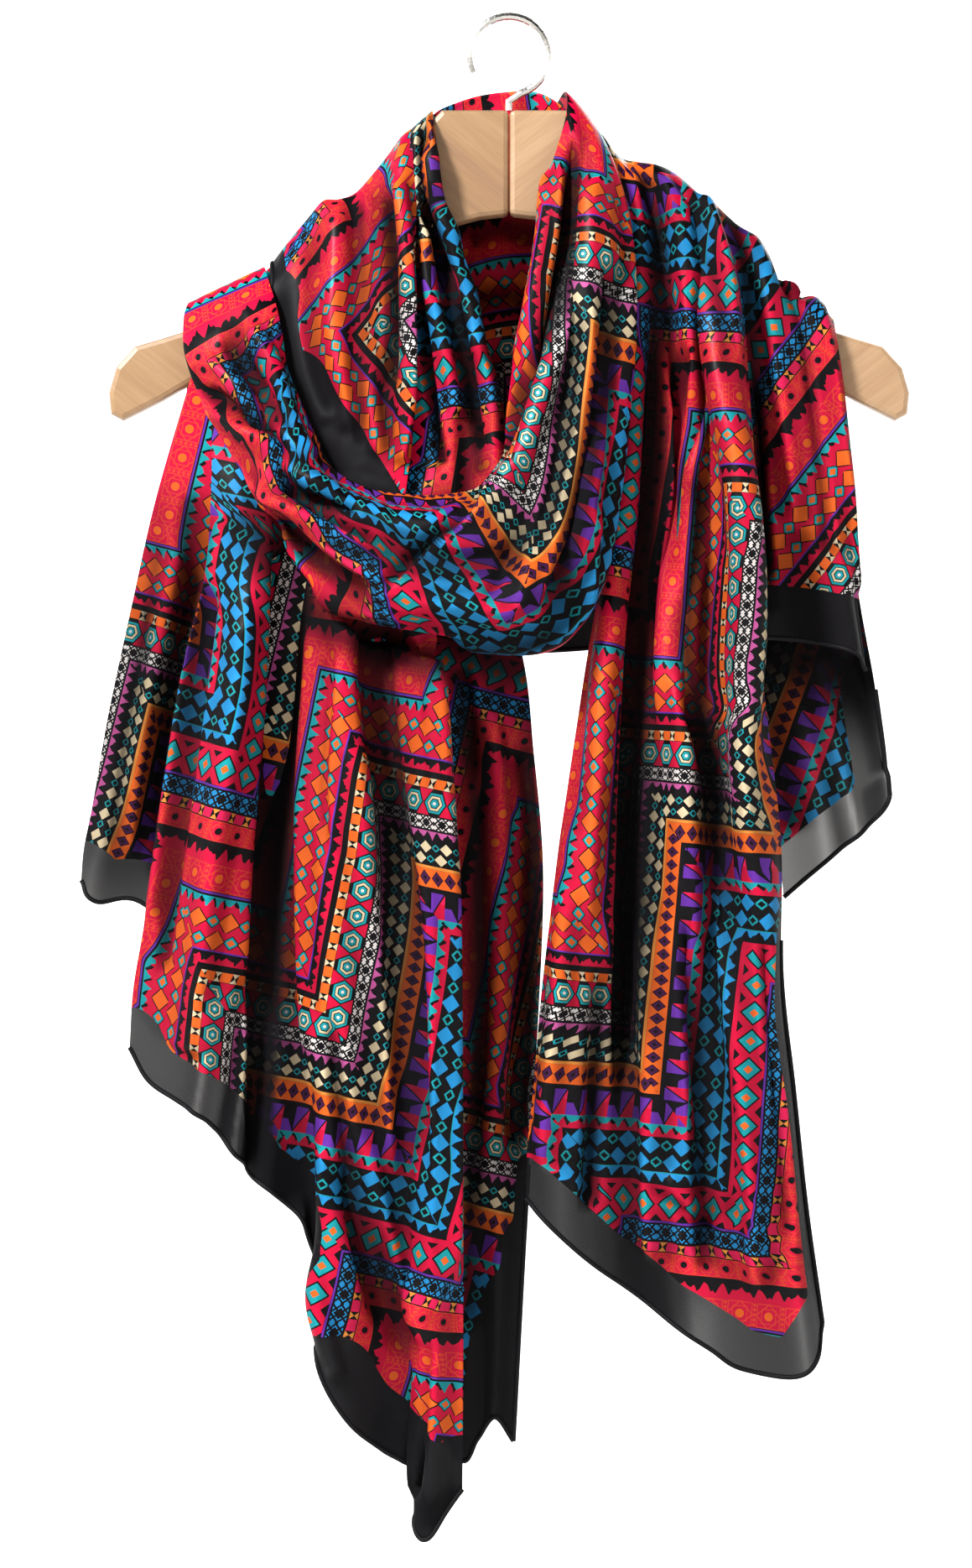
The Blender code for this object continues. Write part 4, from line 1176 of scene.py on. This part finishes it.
backDrape = {
    "name": "backDrapeCloth", "node": "back_drape", "cells": (110, 180), "turn": -80, "shift": (0, 0),
    "flat": (0.22, 0.36), "area": 0.067, "free": ["right"], "restsOn": [leftArm, rightArm],
    "film": 0.05,
    "sections": [
        ((-152, 13, -136.5), (-158, 11, -223), 0),
        ((-124, 17, -122.5), (-129.5, 26, -266.5), 0),
        ((-84, 24, -88.5), (-85.5, 40, -290.5), 0),
        ((-41.5, 40, -63.5), (-30.5, 52, -298), 0),
        ((1.5, 49, -57.5), (31.5, 56, -298), 0),
        ((42, 40, -61.5), (86.5, 50, -290), 0),
        ((88.5, 23, -80.5), (131.5, 34, -276.5), 0),
        ((128.5, 17, -126.5), (153, 22, -232.5), 0),
        ((155.5, 14, -147.5), (163.5, 15, -200.5), 0),
    ],
    "folds": [
        (0.08, 0.08, 0.08, -4, 0.05, 0.95),
        (0.30, 0.25, 0.12, -6, 0.05, 0.95),
        (0.52, 0.50, 0.10, 4, 0.05, 0.95),
        (0.72, 0.75, 0.12, -6, 0.05, 0.95),
        (0.90, 0.92, 0.08, 4, 0.05, 0.95),
    ],
    "creases": [
        ([(-146, -152), (-80, -128), (0, -120), (78, -130), (140, -154)], 8, 11, -6, 0.15, 0.15),
        ([(-150, -166), (-84, -156), (-4, -154), (76, -158), (146, -168)], 7, 8, 6, 0.15, 0.15),
        ([(-148, -182), (-76, -190), (8, -196), (88, -190), (150, -180)], 8, 12, -7, 0.15, 0.15),
        ([(-144, -198), (-66, -222), (14, -232), (94, -218), (152, -190)], 7, 9, 5.5, 0.15, 0.15),
        ([(-26, -76), (-52, -118), (-88, -152), (-124, -170)], 6, 8, -5, 0.1, 0.3),
        ([(24, -74), (48, -116), (84, -150), (126, -170)], 6, 8, -5, 0.1, 0.3),
        ([(-8, -72), (-20, -110), (-44, -142)], 5, 6, 4, 0.1, 0.4),
        ([(10, -70), (20, -108), (46, -140)], 5, 6, 4, 0.1, 0.4),
        ([(-96, -240), (-30, -262), (44, -264), (112, -244)], 8, 10, -6, 0.2, 0.2),
    ],
}

scarfPieces = [makeCloth(piece) for piece in (
    neckBack, neckLeft, shoulderLeft, cowl, tailLeft,
    tailLeftBack, tailRight, shoulderRight, wingRight, backDrape,
)]
print("scarf made:", len(scarfPieces), "stretches")


# the grain runs along each arm; the left arm is a darker copy of the same beech, painted shade
hanger = {
    leftArm: beechMaterial("lacqueredBeechLeftShaded", -38, ["#A07C5C", "#A9855F", "#B28E6A"]),
    rightArm: beechMaterial("lacqueredBeechRight", 38, ["#B48F6C", "#BC9772", "#C4A07C"]),
    "hook": wireMaterial("nickelPlatedWire", hookWire),
}
for node, finish in hanger.items():
    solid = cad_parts[node]
    solid.data.materials.clear()
    solid.data.materials.append(finish)
print("hanger finished")


studio = {
    "camera": (-0.011, -1.765, -0.3642), "lens": 85, "sensor": 36,
    # a round paper floor that curves up into a wall, in metres
    "floorZ": -0.83, "radius": 4.5, "sweep": 0.8, "wallTop": 2.6, "sides": 72, "sweepSteps": 8,
    "innerRings": (0.6, 1.5), "paper": "#E4E2DE", "frontGlow": 0.14, "backGlow": 1.05,
    # the glow grows between these two distances behind the scarf
    "glowFrom": 0.1, "glowTo": 0.5,
    "roomLight": 0.03, "aim": (0.0, 0.0, -0.36),
    "lights": [
        # name, place, size, watts
        ("key", (-1.0, -1.1, 0.85), 0.35, 48),
        ("fill", (1.1, -1.6, 0.0), 0.8, 3),
        ("back", (0.9, 1.9, 0.9), 0.8, 12),
    ],
}


def paperFloor():
    # one seamless round sheet, lit from behind over its far half
    radius, sweep, floor, sides = (studio[key] for key in ("radius", "sweep", "floorZ", "sides"))
    profile = [(reach, floor) for reach in (*studio["innerRings"], radius - sweep)]
    for step in range(1, studio["sweepSteps"] + 1):
        angle = math.pi / 2 * step / studio["sweepSteps"]
        reach = radius - sweep + sweep * math.sin(angle)
        profile.append((reach, floor + sweep - sweep * math.cos(angle)))
    profile.append((radius, studio["wallTop"]))
    points = [(0.0, 0.0, floor)]
    for reach, z in profile:
        for side in range(sides):
            angle = 2 * math.pi * side / sides
            points.append((reach * math.cos(angle), reach * math.sin(angle), z))
    faces = [(0, 1 + side, 1 + (side + 1) % sides) for side in range(sides)]
    for ring in range(len(profile) - 1):
        first, after = 1 + ring * sides, 1 + (ring + 1) * sides
        for side in range(sides):
            beside = (side + 1) % sides
            faces.append((first + side, after + side, after + beside, first + beside))
    mesh = bpy.data.meshes.new("paperFloor")
    mesh.from_pydata(points, [], faces)
    mesh.polygons.foreach_set("use_smooth", [True] * len(faces))
    sheet = linkedObject("paperFloor", mesh)
    paper, tree, shader = newMaterial("seamlessPaper")
    paper.cycles.emission_sampling = "NONE"
    place = addNode(tree, "SeparateXYZ", [addNode(tree, "TexCoord", out=3)])
    glow = [studio[key] for key in ("glowFrom", "glowTo", "frontGlow", "backGlow")]
    behind = place.node.outputs[1]
    fillInputs(tree, shader, {
        "Base Color": linearColour(studio["paper"]), "Roughness": 0.9,
        "Emission Color": linearColour("#FFFFFF"),
        "Emission Strength": addNode(tree, "MapRange", [behind, *glow], interpolation_type="SMOOTHSTEP"),
    })
    mesh.materials.append(paper)


paperFloor()
cameraData = bpy.data.cameras.new("camera")
cameraData.lens = studio["lens"]
cameraData.sensor_width = studio["sensor"]
camera = linkedObject("camera", cameraData)
camera.location = studio["camera"]
camera.rotation_euler = (math.pi / 2, 0, 0)
bpy.context.scene.camera = camera
for name, place, size, watts in studio["lights"]:
    lamp = bpy.data.lights.new(name, "AREA")
    lamp.shape = "DISK"
    lamp.size = size
    lamp.energy = watts
    holder = linkedObject(name, lamp)
    holder.location = place
    turned = (Vector(studio["aim"]) - Vector(place)).to_track_quat("-Z", "Y")
    holder.rotation_euler = turned.to_euler()
world = bpy.data.worlds.new("room")
world.use_nodes = True
air = world.node_tree.nodes["Background"]
fillInputs(world.node_tree, air, [linearColour("#FFFFFF"), studio["roomLight"]])
bpy.context.scene.world = world
bpy.context.scene.view_settings.view_transform = "Standard"
print("camera and lights set")
